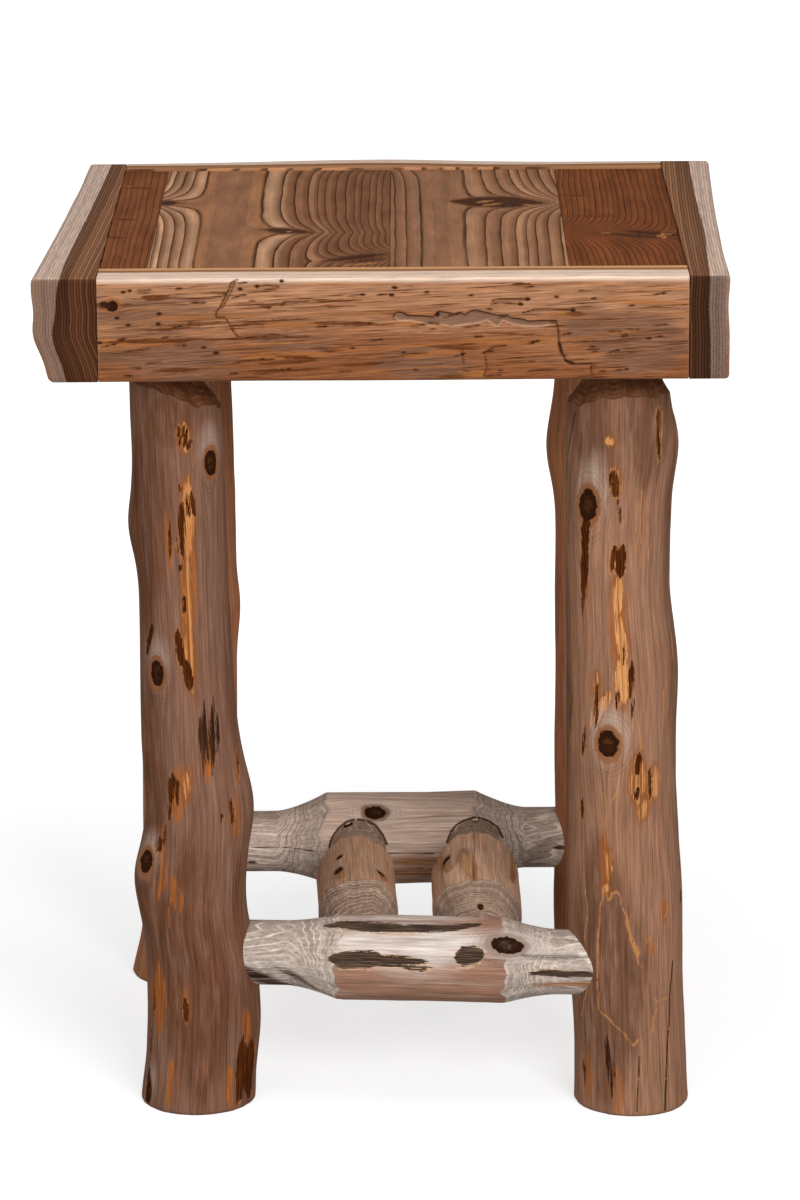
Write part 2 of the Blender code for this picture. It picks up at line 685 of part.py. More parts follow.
def screw_planks_to_bearers(planks, bearers):
    """One screw up through each bearer into each plank, beside the leg bores."""
    bite = PLANK_THICKNESS - SCREW_COVER
    for end, inwards in (("front", 1), ("rear", -1)):
        y = BEARER_Y[end] + inwards * (BEARER_WIDTH - BEARER_WALL) / 2
        for i, (plank, x) in enumerate(planks, 1):
            drive_screw(f"{end}_plank_screw_{i}", (x, y, BEARER_UNDERSIDE), UP,
                        BEARER_THICKNESS, bite, bearers[end], plank)


def screw_bearers_to_rails(planks, bearers, rails):
    """Three screws through each bearer into the rail in front of it or behind it."""
    broad_x, middle_x = planks[1][1], planks[2][1]
    stops = (LEG_X["left"] + LEG_TENON_RADIUS, broad_x, middle_x, LEG_X["right"] - LEG_TENON_RADIUS)
    z = (BEARER_TOP + BEARER_UNDERSIDE) / 2
    ends = (("front", FRONT, front_rail_thickness), ("rear", REAR, rear_rail_thickness))
    for end, heading, thickness in ends:
        face_y = BEARER_Y[end] - heading.y * BEARER_WIDTH / 2
        for i, (left, right) in enumerate(zip(stops, stops[1:]), 1):
            x = (left + right) / 2
            share = (x - LEFT_X) / INNER_WIDTH
            bite = thickness(share, HEIGHT - z) - SCREW_COVER
            drive_screw(f"{end}_rail_screw_{i}", (x, face_y, z), heading,
                        BEARER_WIDTH, bite, bearers[end], rails[end])


def screw_cleats(cleats, low_y, high_y, planks, rails):
    """Each cleat has two screws out into its side rail and two up into the plank over it."""
    edge_planks = {"left": planks[0][0], "right": planks[-1][0]}
    thicknesses = {"left": left_rail_thickness, "right": right_rail_thickness}
    headings = {"left": LEFT, "right": RIGHT}
    front_end = FRONT_Y - FRONT_RAIL_THICKNESS
    z = BEARER_TOP - CLEAT_HEIGHT / 2
    for side, heading in headings.items():
        wall = LEFT_X if side == "left" else RIGHT_X
        middle_x = wall - heading.x * (CLEARANCE + CLEAT_WIDTH / 2)
        inner_x = wall - heading.x * (CLEARANCE + CLEAT_WIDTH)
        for i, share in enumerate(CLEAT_RAIL_SCREW_SHARES, 1):
            y = low_y + (high_y - low_y) * share
            from_front = (y - front_end) / SIDE_RAIL_LENGTH
            rail_share = from_front if side == "left" else 1 - from_front
            bite = thicknesses[side](rail_share, HEIGHT - z) - SCREW_COVER
            drive_screw(f"{side}_rail_screw_{i}", (inner_x, y, z), heading,
                        CLEAT_WIDTH, bite, cleats[side], rails[side])
        for i, share in enumerate(CLEAT_PLANK_SCREW_SHARES, 1):
            y = low_y + (high_y - low_y) * share
            drive_screw(f"{side}_plank_screw_{i}", (middle_x, y, BEARER_TOP - CLEAT_HEIGHT), UP,
                        CLEAT_HEIGHT, PLANK_THICKNESS - SCREW_COVER, cleats[side], edge_planks[side])


def main():
    """Build the top, the legs, the foot rack and the screws."""
    planks = build_planks()
    rails = build_rails()
    bearers = build_bearers()
    cleats, low_y, high_y = build_cleats()
    legs = build_legs()
    stretchers = {
        "front": build_stretcher(
            "front", FRONT_STRETCHER_RADIUS, FRONT_STRETCHER_STATIONS, FRONT_STRETCHER_KNOTS,
            (FRONT_LEFT_NECK, FRONT_RIGHT_NECK), (FRONT_LEFT_RISE, FRONT_RIGHT_RISE),
            (FRONT_LEFT_STAND, FRONT_RIGHT_STAND), legs),
        "rear": build_stretcher(
            "rear", REAR_STRETCHER_RADIUS, REAR_STRETCHER_STATIONS, REAR_STRETCHER_KNOTS,
            (REAR_LEFT_NECK, REAR_RIGHT_NECK), (REAR_LEFT_RISE, REAR_RIGHT_RISE),
            (REAR_LEFT_STAND, REAR_RIGHT_STAND), legs),
    }
    build_rung("left", LEFT_RUNG_X, LEFT_RUNG_RADIUS, LEFT_RUNG_STATIONS, LEFT_RUNG_KNOTS, stretchers)
    build_rung("right", RIGHT_RUNG_X, RIGHT_RUNG_RADIUS, RIGHT_RUNG_STATIONS, RIGHT_RUNG_KNOTS, stretchers)
    screw_planks_to_bearers(planks, bearers)
    screw_bearers_to_rails(planks, bearers, rails)
    screw_cleats(cleats, low_y, high_y, planks, rails)


main()
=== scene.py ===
# %% [markdown]
# # A log nightstand, dressed over its CAD frame
# The frame holds the solids of a small rustic table: planks in a frame of slab rails, four
# log legs, and a low rack of stretchers and rungs. Everything is in metres, with the floor at
# zero height and the front towards -Y. This script keeps every piece in its place and gives
# the wood the surface that a peeled, weathered log has.

# %% Load the frame
from collections import namedtuple

import bpy
import numpy as np
from mathutils import Matrix, Vector


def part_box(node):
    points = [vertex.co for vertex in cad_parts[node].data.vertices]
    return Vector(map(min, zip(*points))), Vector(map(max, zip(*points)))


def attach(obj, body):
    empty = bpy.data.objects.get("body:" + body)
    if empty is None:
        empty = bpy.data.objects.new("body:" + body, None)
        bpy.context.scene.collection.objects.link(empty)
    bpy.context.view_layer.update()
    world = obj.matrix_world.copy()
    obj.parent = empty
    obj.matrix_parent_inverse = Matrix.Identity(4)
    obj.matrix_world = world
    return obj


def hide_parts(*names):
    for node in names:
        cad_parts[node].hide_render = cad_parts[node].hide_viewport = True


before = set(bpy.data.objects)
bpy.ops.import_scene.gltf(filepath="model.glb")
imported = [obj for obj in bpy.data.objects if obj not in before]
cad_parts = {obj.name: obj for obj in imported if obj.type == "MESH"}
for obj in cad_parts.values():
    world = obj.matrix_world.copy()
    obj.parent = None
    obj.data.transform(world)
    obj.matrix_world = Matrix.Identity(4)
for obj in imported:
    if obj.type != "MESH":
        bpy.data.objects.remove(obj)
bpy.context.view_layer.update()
MM = 0.001

# %% [markdown]
# ## The camera
# The photograph looks slightly down at the front with a long lens. Its camera was solved from
# the corners of the top, so the same camera can also be used backwards: a mark that is seen at
# a pixel of the photograph is found again on the wood. That is why the camera comes first.

# %% Camera of the photograph
PHOTO_WIDTH, PHOTO_HEIGHT = 800, 1200
FOCAL_PIXELS = 5218.5
SENSOR_MM = 36.0
CAMERA_PLACE = np.array((0.0132, -3.8893, 1.4059))
CAMERA_PITCH, CAMERA_ROLL, CAMERA_YAW = np.radians((15.224, -0.357, -0.089))


def camera_axes():
    """Right, up and forward: the level heading turned by the yaw, tipped by the pitch, then rolled."""
    forward = np.array((np.sin(CAMERA_YAW) * np.cos(CAMERA_PITCH),
                        np.cos(CAMERA_YAW) * np.cos(CAMERA_PITCH), -np.sin(CAMERA_PITCH)))
    level = np.array((np.cos(CAMERA_YAW), -np.sin(CAMERA_YAW), 0.0))
    above = np.cross(level, forward)
    right = np.cos(CAMERA_ROLL) * level + np.sin(CAMERA_ROLL) * above
    up = np.cos(CAMERA_ROLL) * above - np.sin(CAMERA_ROLL) * level
    return right, up, forward


RIGHT, UP, FORWARD = camera_axes()


def photo_pixels(points):
    """Pixels at which points are seen: their sideways shares of their depth, times the focal length."""
    ray = points - CAMERA_PLACE
    depth = ray @ FORWARD
    return np.stack((PHOTO_WIDTH / 2 + FOCAL_PIXELS * (ray @ RIGHT) / depth,
                     PHOTO_HEIGHT / 2 - FOCAL_PIXELS * (ray @ UP) / depth), axis=-1)


def photo_point(x, y, axis, level):
    """The point seen at a pixel on the plane where one coordinate has a given level."""
    ray = FORWARD + RIGHT * (x - PHOTO_WIDTH / 2) / FOCAL_PIXELS - UP * (y - PHOTO_HEIGHT / 2) / FOCAL_PIXELS
    return CAMERA_PLACE + ray * (level - CAMERA_PLACE[axis]) / ray[axis]


lens = bpy.data.cameras.new("photo_camera")
lens.sensor_width = SENSOR_MM
lens.lens = FOCAL_PIXELS * SENSOR_MM / PHOTO_HEIGHT
camera = bpy.data.objects.new("photo_camera", lens)
bpy.context.collection.objects.link(camera)
turn = np.eye(4)
turn[:3, :3] = np.column_stack((RIGHT, UP, -FORWARD))
turn[:3, 3] = CAMERA_PLACE
camera.matrix_world = Matrix(turn.tolist())
bpy.context.scene.camera = camera
print("camera lens", round(lens.lens, 1), "mm")

# %% [markdown]
# ## Light, floor and background
# The photograph is a catalogue picture: white all round, a wide soft lamp above and in front,
# and a little light from everywhere. The tops are about twice as bright as the fronts. The
# floor is plain pale paper that shows as white to the camera where no shadow falls on it.

# %% Lamps and world
bpy.context.scene.view_settings.view_transform = "Standard"
KEY_WATTS, TOP_WATTS, FILL_WATTS, WORLD_LEVEL = 85.0, 30.0, 24.0, 0.22


def add_softbox(name, place, target, size, watts):
    """A square area lamp that stands at a place and faces a target."""
    lamp = bpy.data.lights.new(name, "AREA")
    lamp.shape = "SQUARE"
    lamp.size = size
    lamp.energy = watts
    stand = bpy.data.objects.new(name, lamp)
    stand.location = place
    stand.rotation_euler = (Vector(target) - Vector(place)).to_track_quat("-Z", "Y").to_euler()
    bpy.context.collection.objects.link(stand)


add_softbox("key_softbox", (1.0, -3.0, 2.0), (0, 0, 0.35), 1.5, KEY_WATTS)
add_softbox("top_softbox", (0.0, -0.4, 3.0), (0, 0, 0.6), 1.6, TOP_WATTS)
add_softbox("fill_softbox", (-1.6, -3.0, 1.0), (0, 0, 0.3), 1.5, FILL_WATTS)

world = bpy.data.worlds.new("studio")
world.use_nodes = True
bpy.context.scene.world = world
sky = world.node_tree
backing = sky.nodes["Background"]
path = sky.nodes.new("ShaderNodeLightPath")
seen = sky.nodes.new("ShaderNodeMath")
seen.operation = "ADD"
seen.use_clamp = True
also = sky.nodes.new("ShaderNodeMath")
also.operation = "ADD"
sky.links.new(path.outputs["Is Glossy Ray"], also.inputs[0])
sky.links.new(path.outputs["Is Transmission Ray"], also.inputs[1])
sky.links.new(path.outputs["Is Camera Ray"], seen.inputs[0])
sky.links.new(also.outputs[0], seen.inputs[1])
level = sky.nodes.new("ShaderNodeMapRange")
level.inputs["To Min"].default_value = WORLD_LEVEL
level.inputs["To Max"].default_value = 1.0
sky.links.new(seen.outputs[0], level.inputs["Value"])
sky.links.new(level.outputs[0], backing.inputs["Strength"])
backing.inputs["Color"].default_value = (1, 1, 1, 1)
print("key", KEY_WATTS, "W, top", TOP_WATTS, "W, fill", FILL_WATTS, "W, world", WORLD_LEVEL)

# %% [markdown]
# ## Short names for shader nodes
# A finish is a tree of small nodes. Writing each one out takes many lines, so one class keeps
# the tree and adds a node in one call. Inputs may be plain numbers or the outputs of others.

# %% Paint box


class Paint:
    """A node tree in the making, with one short call for each kind of node that the finishes use."""

    def __init__(self, tree):
        self.tree = tree

    def node(self, kind, inputs, output=0, **settings):
        """Add a node, set its properties, fill its inputs by name or number, and give back one output."""
        made = self.tree.nodes.new(kind)
        for key, setting in settings.items():
            setattr(made, key, setting)
        for key, given in inputs.items():
            if isinstance(given, bpy.types.NodeSocket):
                self.tree.links.new(given, made.inputs[key])
            else:
                made.inputs[key].default_value = given
        return made.outputs[output]

    def field(self, name, output="Fac"):
        """A value, or with Vector a vector, that the mesh carries at every vertex."""
        return self.node("ShaderNodeAttribute", {}, output, attribute_name=name)

    def math(self, operation, first, second=0.0):
        return self.node("ShaderNodeMath", {0: first, 1: second}, operation=operation)

    def span(self, value, low, high, start=0.0, end=1.0):
        """A smooth step that goes from start to end while the value goes from low to high."""
        inputs = {"Value": value, "From Min": low, "From Max": high, "To Min": start, "To Max": end}
        return self.node("ShaderNodeMapRange", inputs, interpolation_type="SMOOTHSTEP")

    def mix(self, share, first, second, blend="MIX"):
        inputs = {0: share, 6: self.rgba(first), 7: self.rgba(second)}
        return self.node("ShaderNodeMix", inputs, 2, data_type="RGBA", blend_type=blend)

    def rgba(self, colour):
        return (*colour, 1.0) if isinstance(colour, tuple) and len(colour) == 3 else colour

    def shade(self, colour, level):
        """The colour made darker or lighter by a level that changes over the surface."""
        return self.node("ShaderNodeVectorMath", {0: colour, "Scale": level}, operation="SCALE")

    def stretch(self, vector, x, y, z):
        return self.node("ShaderNodeVectorMath", {0: vector, 1: (x, y, z)}, operation="MULTIPLY")

    def noise(self, vector, scale, detail=2.0, roughness=0.5):
        inputs = {"Vector": vector, "Scale": scale, "Detail": detail, "Roughness": roughness}
        return self.node("ShaderNodeTexNoise", inputs)

    def ramp(self, value, stops):
        """A colour that runs through (place, colour) stops as the value goes from 0 to 1."""
        socket = self.node("ShaderNodeValToRGB", {"Fac": value})
        bar = socket.node.color_ramp
        while len(bar.elements) < len(stops):
            bar.elements.new(1.0)
        for element, (place, colour) in zip(bar.elements, stops):
            element.position = place
            element.color = (*colour, 1.0)
        return socket

    def use(self, group, **inputs):
        """Place a shared group and give back its outputs by name."""
        named = {key.replace("_", " "): given for key, given in inputs.items()}
        return self.node("ShaderNodeGroup", named, node_tree=group).node.outputs


def new_group(name, inputs, outputs):
    """An empty node group with (name, start value) inputs and float outputs; a vector starts as None."""
    group = bpy.data.node_groups.new(name, "ShaderNodeTree")
    for key, start in inputs:
        kind = "NodeSocketVector" if start is None else "NodeSocketFloat"
        socket = group.interface.new_socket(key, in_out="INPUT", socket_type=kind)
        if start is not None:
            socket.default_value = start
    for key in outputs:
        group.interface.new_socket(key, in_out="OUTPUT", socket_type="NodeSocketFloat")
    entry, leave = group.nodes.new("NodeGroupInput"), group.nodes.new("NodeGroupOutput")
    return Paint(group), entry.outputs, leave.inputs


def new_finish(name):
    """A material with only a Principled shader, and the paint box that works on it."""
    finish = bpy.data.materials.new(name)
    finish.use_nodes = True
    return finish, Paint(finish.node_tree), finish.node_tree.nodes["Principled BSDF"]


print("paint box ready")

# %% [markdown]
# ## What every piece of wood shares
# Fibres run along the wood, growth rings show where it is cut across them, knots have a dark
# core with a collar, and every mark has a ragged edge. Each of these is a node group. They all
# read a vector called grain, whose third part runs along the fibres, in metres.

# %% Fibre, ring, knot and edge groups
paint, given, result = new_group("wood_fibre", (("Grain", None), ("Across", 170.0), ("Along", 8.0)),
                                 ("Broad", "Fine", "Hair"))
scale = paint.node("ShaderNodeCombineXYZ", {0: given["Across"], 1: given["Across"], 2: given["Along"]})
pulled = paint.node("ShaderNodeVectorMath", {0: given["Grain"], 1: scale}, operation="MULTIPLY")
for key, size in (("Broad", 1.0), ("Fine", 3.3), ("Hair", 9.0)):
    paint.tree.links.new(paint.noise(pulled, size, 3.0, 0.55), result[key])
FIBRE = paint.tree

paint, given, result = new_group("ragged_edge", (("Field", 0.0), ("Grain", None), ("Fray", 0.6), ("Soft", 0.15)),
                                 ("Mask",))
fibres = paint.noise(paint.stretch(given["Grain"], 720.0, 720.0, 26.0), 1.0, 3.0, 0.65)
chips = paint.noise(paint.stretch(given["Grain"], 1500.0, 1500.0, 210.0), 1.0, 2.0, 0.6)
torn = paint.math("ADD", paint.math("MULTIPLY", paint.math("SUBTRACT", fibres, 0.5), 4.0),
                  paint.math("MULTIPLY", paint.math("SUBTRACT", chips, 0.5), 2.0))
edge = paint.math("ADD", given["Field"], paint.math("MULTIPLY", torn, given["Fray"]))
inner = paint.math("DIVIDE", edge, given["Soft"])
paint.tree.links.new(paint.span(inner, -1.0, 1.0), result["Mask"])
RAGGED = paint.tree

paint, given, result = new_group("growth_rings", (("Rings", 0.0), ("Line", 0.3)), ("Line", "Tone", "Sweep"))
sweep = paint.math("FRACT", given["Rings"])
start = paint.math("SUBTRACT", 1.0, given["Line"])
paint.tree.links.new(paint.span(sweep, start, paint.math("ADD", start, paint.math("MULTIPLY", given["Line"], 0.75))),
                     result["Line"])
tone = paint.node("ShaderNodeTexWhiteNoise", {"W": paint.math("FLOOR", given["Rings"])}, "Value", noise_dimensions="1D")
paint.tree.links.new(tone, result["Tone"])
paint.tree.links.new(sweep, result["Sweep"])
RINGS = paint.tree

paint, given, result = new_group("knot_parts", (("Knot", 9.0), ("Grain", None)), ("Core", "Heart", "Collar", "Lines"))
lumps = paint.noise(paint.stretch(given["Grain"], 420.0, 420.0, 300.0), 1.0, 3.0)
reach = paint.math("ADD", given["Knot"], paint.math("MULTIPLY", paint.math("SUBTRACT", lumps, 0.5), 0.6))
for key, outer, inner in (("Core", 1.08, 0.96), ("Heart", 0.75, 0.3), ("Collar", 1.75, 1.2)):
    paint.tree.links.new(paint.span(reach, outer, inner), result[key])
turns = paint.math("FRACT", paint.math("MULTIPLY", reach, 2.8))
paint.tree.links.new(paint.math("MULTIPLY", paint.span(turns, 0.55, 0.85), paint.span(reach, 3.4, 2.0)), result["Lines"])
KNOTS = paint.tree
print("groups:", [group.name for group in bpy.data.node_groups])

# %% [markdown]
# ## Marks on the wood
# A peeled log carries slivers of bark that the knife missed, tan streaks of inner bark, stains
# and knots. Each is stored at the vertices as a smooth distance, in millimetres, and the
# finish turns that into a crisp ragged edge. A distance stays sharp on a much coarser mesh
# than a painted colour would.

# %% Distances to strokes and knots
FAR = 99.0
EVEN = 60
Stroke = namedtuple("Stroke", "start end width taper", defaults=(2,))
Knot = namedtuple("Knot", "place across along")


def lattice_noise(points, seed):
    """Smooth noise from -1 to 1: seeded values on a cubic lattice, blended with smooth weights."""
    table = np.random.default_rng(seed).uniform(-1, 1, 4096)
    cell = np.floor(points).astype(np.int64)
    near = points - cell
    near = near * near * (3 - 2 * near)
    total = 0.0
    for corner in np.ndindex(2, 2, 2):
        key = ((cell + corner) * (73856093, 19349663, 83492791)).sum(axis=-1)
        weight = np.prod(np.where(np.array(corner) == 1, near, 1 - near), axis=-1)
        total = total + weight * table[(key ^ (key >> 7)) % 4096]
    return total


def wrapped(distance, girth):
    """A distance round a log, taken the short way; a flat face has no girth."""
    return distance if girth is None else (distance + girth / 2) % girth - girth / 2


def stroke_field(across, along, strokes, girth=None):
    """Millimetres inside the nearest stroke, negative outside. A stroke is a sliver on the line from
    its start to its end: half its width times 1 - (2t - 1)^taper, less the distance to the line. A
    taper of 2 gives a sliver with two points, and a high one a line of even width."""
    field = np.full(across.shape, -FAR)
    for (a0, l0), (a1, l1), width, taper in strokes:
        run = np.array((wrapped(a1 - a0, girth), l1 - l0))
        size = max(run @ run, 1e-12)
        da, dl = wrapped(across - a0, girth), along - l0
        t = np.clip((da * run[0] + dl * run[1]) / size, 0, 1)
        away = np.hypot(da - t * run[0], dl - t * run[1])
        lens_width = width / 2 * (1 - np.abs(2 * t - 1) ** taper)
        field = np.maximum(field, (lens_width - away) / MM)
    return field


def sliver_strokes(lines, find, taper=2):
    """Slivers from (x0, y0, x1, y1, width in mm) in pixels; find gives the place of a pixel on the wood."""
    return [Stroke(find(x0, y0), find(x1, y1), width * MM, taper) for x0, y0, x1, y1, width in lines]


def path_strokes(paths, find):
    """Lines of even width from (width in mm, pixel, pixel, ...), one stroke for each pair of neighbours."""
    strokes = []
    for width, *pixels in paths:
        places = [find(x, y) for x, y in pixels]
        strokes += [Stroke(start, end, width * MM, EVEN) for start, end in zip(places, places[1:])]
    return strokes


def knot_field(across, along, knots, girth=None):
    """How many knot radii away the nearest knot is: 1 on the rim of its core."""
    field = np.full(across.shape, FAR)
    for (a, l), wide, long in knots:
        field = np.minimum(field, np.hypot(wrapped(across - a, girth) / wide, (along - l) / long))
    return field


def parted_grain(across, along, knots, girth=None):
    """The across place with fibres parted round knots, as water parts round a post: each knot
    takes away its offset times its width squared over the squared distance, drawn out along."""
    parted = across.copy()
    for (a, l), wide, long in knots:
        da, dl = wrapped(across - a, girth), (along - l) * wide / (2.0 * long)
        parted = parted - da * wide ** 2 / (da ** 2 + dl ** 2 + 0.6 * wide ** 2)
    return parted


print("stroke and knot distances ready")

# %% [markdown]
# ## Putting a surface into Blender
# numpy works out all the points of a surface at once, and one call hands them to the mesh,
# with the marks as named attributes. The piece stands at the origin with its place in its
# mesh, rides on the body of the table, and takes over from the CAD solid that it dresses.

# %% Piece maker


def add_piece(node, points, faces, fields, finish):
    """Make the piece that dresses a CAD node, with smooth faces and its fields at the vertices."""
    mesh = bpy.data.meshes.new(node + "_wood")
    mesh.from_pydata(points, [], faces)
    for key, values in fields.items():
        vector = values.ndim == 2
        attribute = mesh.attributes.new(key, "FLOAT_VECTOR" if vector else "FLOAT", "POINT")
        attribute.data.foreach_set("vector" if vector else "value", values.astype(np.float32).ravel())
    mesh.shade_smooth()
    mesh.materials.append(finish)
    piece = bpy.data.objects.new(node + "_wood", mesh)
    bpy.context.collection.objects.link(piece)
    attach(piece, "root")
    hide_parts(node)
    print(piece.name, sum(len(face) - 2 for face in faces), "triangles")
    return piece


print("piece maker ready")

# %% [markdown]
# ## The finish of the logs
# The legs are grey-brown and the rack is paler. Under a clear oil both show long streaks, dark
# hair lines, tan inner bark, near-black bark slivers with an orange rim, and knots with a grey
# halo. Where a tenon cutter has shaved an end, it opens the growth rings as pale wavy lines:
# there the colour follows the depth below the natural surface.

# %% Log finishes
RUST = (0.25, 0.080, 0.021)
EMBER = (0.45, 0.130, 0.024)
KNOT_CORE = (0.026, 0.009, 0.004)
KNOT_COLLAR = (0.25, 0.088, 0.028)
# Dark stains and cracks on the logs, and painted shadow in the worm track of the front rail and along the rung joints.
SOOT_AND_SHADOW = (0.034, 0.013, 0.007)
WOOD_SPECULAR = 0.008
LogTones = namedtuple("LogTones", "grey warm pale halo collar shaved deep ring_line ring_mm ring_show tan rim bark "
                                  "bark_streak smudge")


def log_finish(name, tones):
    """Blotched log wood: grey and warm tones by fibre and by the warm strokes, which also lay painted shade and a
    painted highlight; then ring lines on shaved ends, then the marks.
    """
    finish, paint, shader = new_finish(name)
    shader.inputs["Specular IOR Level"].default_value = WOOD_SPECULAR
    grain, depth = paint.field("grain", "Vector"), paint.field("depth")
    fibre = paint.use(FIBRE, Grain=grain, Across=170.0, Along=4.5)
    wash = paint.noise(paint.stretch(grain, 55.0, 55.0, 9.0), 1.0, 4.0, 0.62)
    # The warm field is warm wood, and also painted shade on the front legs and a painted highlight on the front
    # stretcher.
    glow = paint.math("ADD", paint.field("warm"), paint.math("MULTIPLY", paint.math("SUBTRACT", wash, 0.5), 40.0))
    colour = paint.mix(paint.span(glow, -11.0, 9.0), tones.grey, tones.warm)
    blotch = paint.noise(paint.stretch(grain, 120.0, 120.0, 22.0), 1.0, 3.0, 0.6)
    colour = paint.mix(paint.span(blotch, 0.46, 0.70, 0.0, 0.42), colour, tones.pale)
    flecks = paint.noise(paint.stretch(grain, 330.0, 330.0, 17.0), 1.0, 3.0, 0.6)
    colour = paint.mix(paint.span(flecks, 0.62, 0.74, 0.0, 0.5), colour, RUST)
    colour = paint.shade(colour, paint.span(fibre["Fine"], 0.3, 0.7, 0.82, 1.18))
    colour = paint.shade(colour, paint.span(fibre["Hair"], 0.34, 0.66, 0.82, 1.16))
    weather = paint.noise(paint.stretch(grain, 420.0, 420.0, 4.5), 1.0, 3.0, 0.6)
    colour = paint.shade(colour, paint.span(weather, 0.56, 0.70, 1.0, 0.70))
    splits = paint.noise(paint.stretch(grain, 820.0, 820.0, 8.0), 1.0, 2.0, 0.5)
    colour = paint.shade(colour, paint.span(splits, 0.66, 0.73, 1.0, 0.50))

    count = paint.math("ADD", paint.math("DIVIDE", depth, tones.ring_mm), paint.math("MULTIPLY", fibre["Broad"], 0.8))
    rings = paint.use(RINGS, Rings=count, Line=0.26)
    hewn = paint.noise(paint.stretch(grain, 330.0, 330.0, 190.0), 1.0, 3.0, 0.65)
    opened = paint.mix(rings["Tone"], tones.shaved, tones.deep)
    opened = paint.shade(opened, paint.span(hewn, 0.3, 0.7, 0.74, 1.26))
    opened = paint.shade(opened, paint.span(fibre["Hair"], 0.34, 0.66, 0.86, 1.13))
    fading = paint.span(paint.noise(paint.stretch(grain, 70.0, 70.0, 70.0), 1.0, 2.0), 0.40, 0.60,
                        tones.ring_show - 0.55, tones.ring_show)
    opened = paint.mix(paint.math("MULTIPLY", rings["Line"], paint.math("MAXIMUM", fading, 0.0)), opened, tones.ring_line)
    cut = paint.use(RAGGED, Field=paint.field("cut"), Grain=grain, Fray=0.5, Soft=0.25)["Mask"]
    colour = paint.mix(cut, colour, opened)

    ember = paint.use(RAGGED, Field=paint.field("ember"), Grain=grain, Fray=2.6, Soft=1.4)["Mask"]
    ember_tone = paint.mix(paint.span(fibre["Hair"], 0.36, 0.62), RUST, EMBER)
    colour = paint.mix(paint.math("MULTIPLY", ember, paint.span(weather, 0.40, 0.58, 1.0, 0.10)), colour, ember_tone)
    tan_field = paint.field("tan")
    glow = paint.math("ADD", tan_field, paint.math("MULTIPLY", paint.math("SUBTRACT", blotch, 0.5), 16.0))
    colour = paint.mix(paint.span(glow, -6.0, 1.5, 0.0, 0.72), colour, RUST)
    tan = paint.use(RAGGED, Field=tan_field, Grain=grain, Fray=2.8, Soft=0.6)["Mask"]
    tan_tone = paint.mix(paint.span(weather, 0.46, 0.62), tones.tan, RUST)
    colour = paint.mix(paint.math("MULTIPLY", tan, paint.span(fibre["Hair"], 0.34, 0.56, 0.40, 1.0)), colour, tan_tone)
    thin = paint.use(RAGGED, Field=paint.field("line"), Grain=grain, Fray=0.5, Soft=0.3)["Mask"]
    colour = paint.mix(paint.math("MULTIPLY", thin, paint.span(blotch, 0.3, 0.6, 0.35, 0.85)), colour, tones.rim)
    knots = paint.use(KNOTS, Knot=paint.field("knot"), Grain=grain)
    crown = paint.math("ADD", paint.field("crown"), paint.math("MULTIPLY", paint.math("SUBTRACT", blotch, 0.5), 1.1))
    crown = paint.math("MULTIPLY", paint.span(crown, 1.25, 0.45), paint.span(fibre["Fine"], 0.3, 0.6, 0.40, 0.95))
    colour = paint.mix(crown, colour, tones.halo)
    colour = paint.shade(colour, paint.span(knots["Lines"], 0.0, 1.0, 1.0, 0.82))
    colour = paint.mix(paint.math("MULTIPLY", knots["Collar"], 0.88), colour, tones.collar)
    stain = paint.use(RAGGED, Field=paint.field("stain"), Grain=grain, Fray=1.8, Soft=tones.smudge)["Mask"]
    colour = paint.mix(paint.math("MULTIPLY", stain, paint.span(fibre["Fine"], 0.3, 0.55, 0.55, 1.0)), colour, SOOT_AND_SHADOW)
    # The slit mask lays real cracks, and also painted shadow along the joints of the rungs with the rear stretcher.
    slit_and_joint_shadow = paint.use(RAGGED, Field=paint.field("slit_and_joint_shadow"), Grain=grain, Fray=0.25, Soft=0.25)["Mask"]
    colour = paint.mix(paint.math("MULTIPLY", slit_and_joint_shadow, 0.9), colour, SOOT_AND_SHADOW)
    bark_field = paint.field("bark")
    rim = paint.use(RAGGED, Field=paint.math("ADD", bark_field, 0.9), Grain=grain, Fray=1.9, Soft=0.3)["Mask"]
    bark = paint.use(RAGGED, Field=bark_field, Grain=grain, Fray=1.9, Soft=0.12)["Mask"]
    colour = paint.mix(paint.math("MULTIPLY", rim, paint.span(blotch, 0.44, 0.62, 0.0, 0.9)), colour, tones.rim)
    skin = paint.mix(paint.span(fibre["Hair"], 0.46, 0.62), tones.bark, tones.bark_streak)
    colour = paint.mix(bark, colour, skin)
    colour = paint.mix(knots["Core"], colour, KNOT_CORE)
    heart = paint.math("MULTIPLY", knots["Heart"], paint.span(hewn, 0.4, 0.6, 0.0, 0.22))
    colour = paint.mix(heart, colour, tones.collar)
    paint.tree.links.new(colour, shader.inputs["Base Color"])
    rough = paint.math("ADD", 0.50, paint.math("MULTIPLY", fibre["Fine"], 0.22))
    paint.tree.links.new(paint.math("ADD", rough, paint.math("MULTIPLY", bark, 0.2)), shader.inputs["Roughness"])
    height = paint.math("ADD", paint.math("MULTIPLY", fibre["Fine"], 0.5), paint.math("MULTIPLY", fibre["Hair"], 0.3))
    height = paint.math("ADD", height, paint.math("MULTIPLY", paint.math("MULTIPLY", cut, hewn), 1.2))
    height = paint.math("SUBTRACT", height, paint.math("MULTIPLY", bark, 0.9))
    bump = paint.node("ShaderNodeBump", {"Height": height, "Strength": 0.6, "Distance": 0.0007})
    paint.tree.links.new(bump, shader.inputs["Normal"])
    return finish


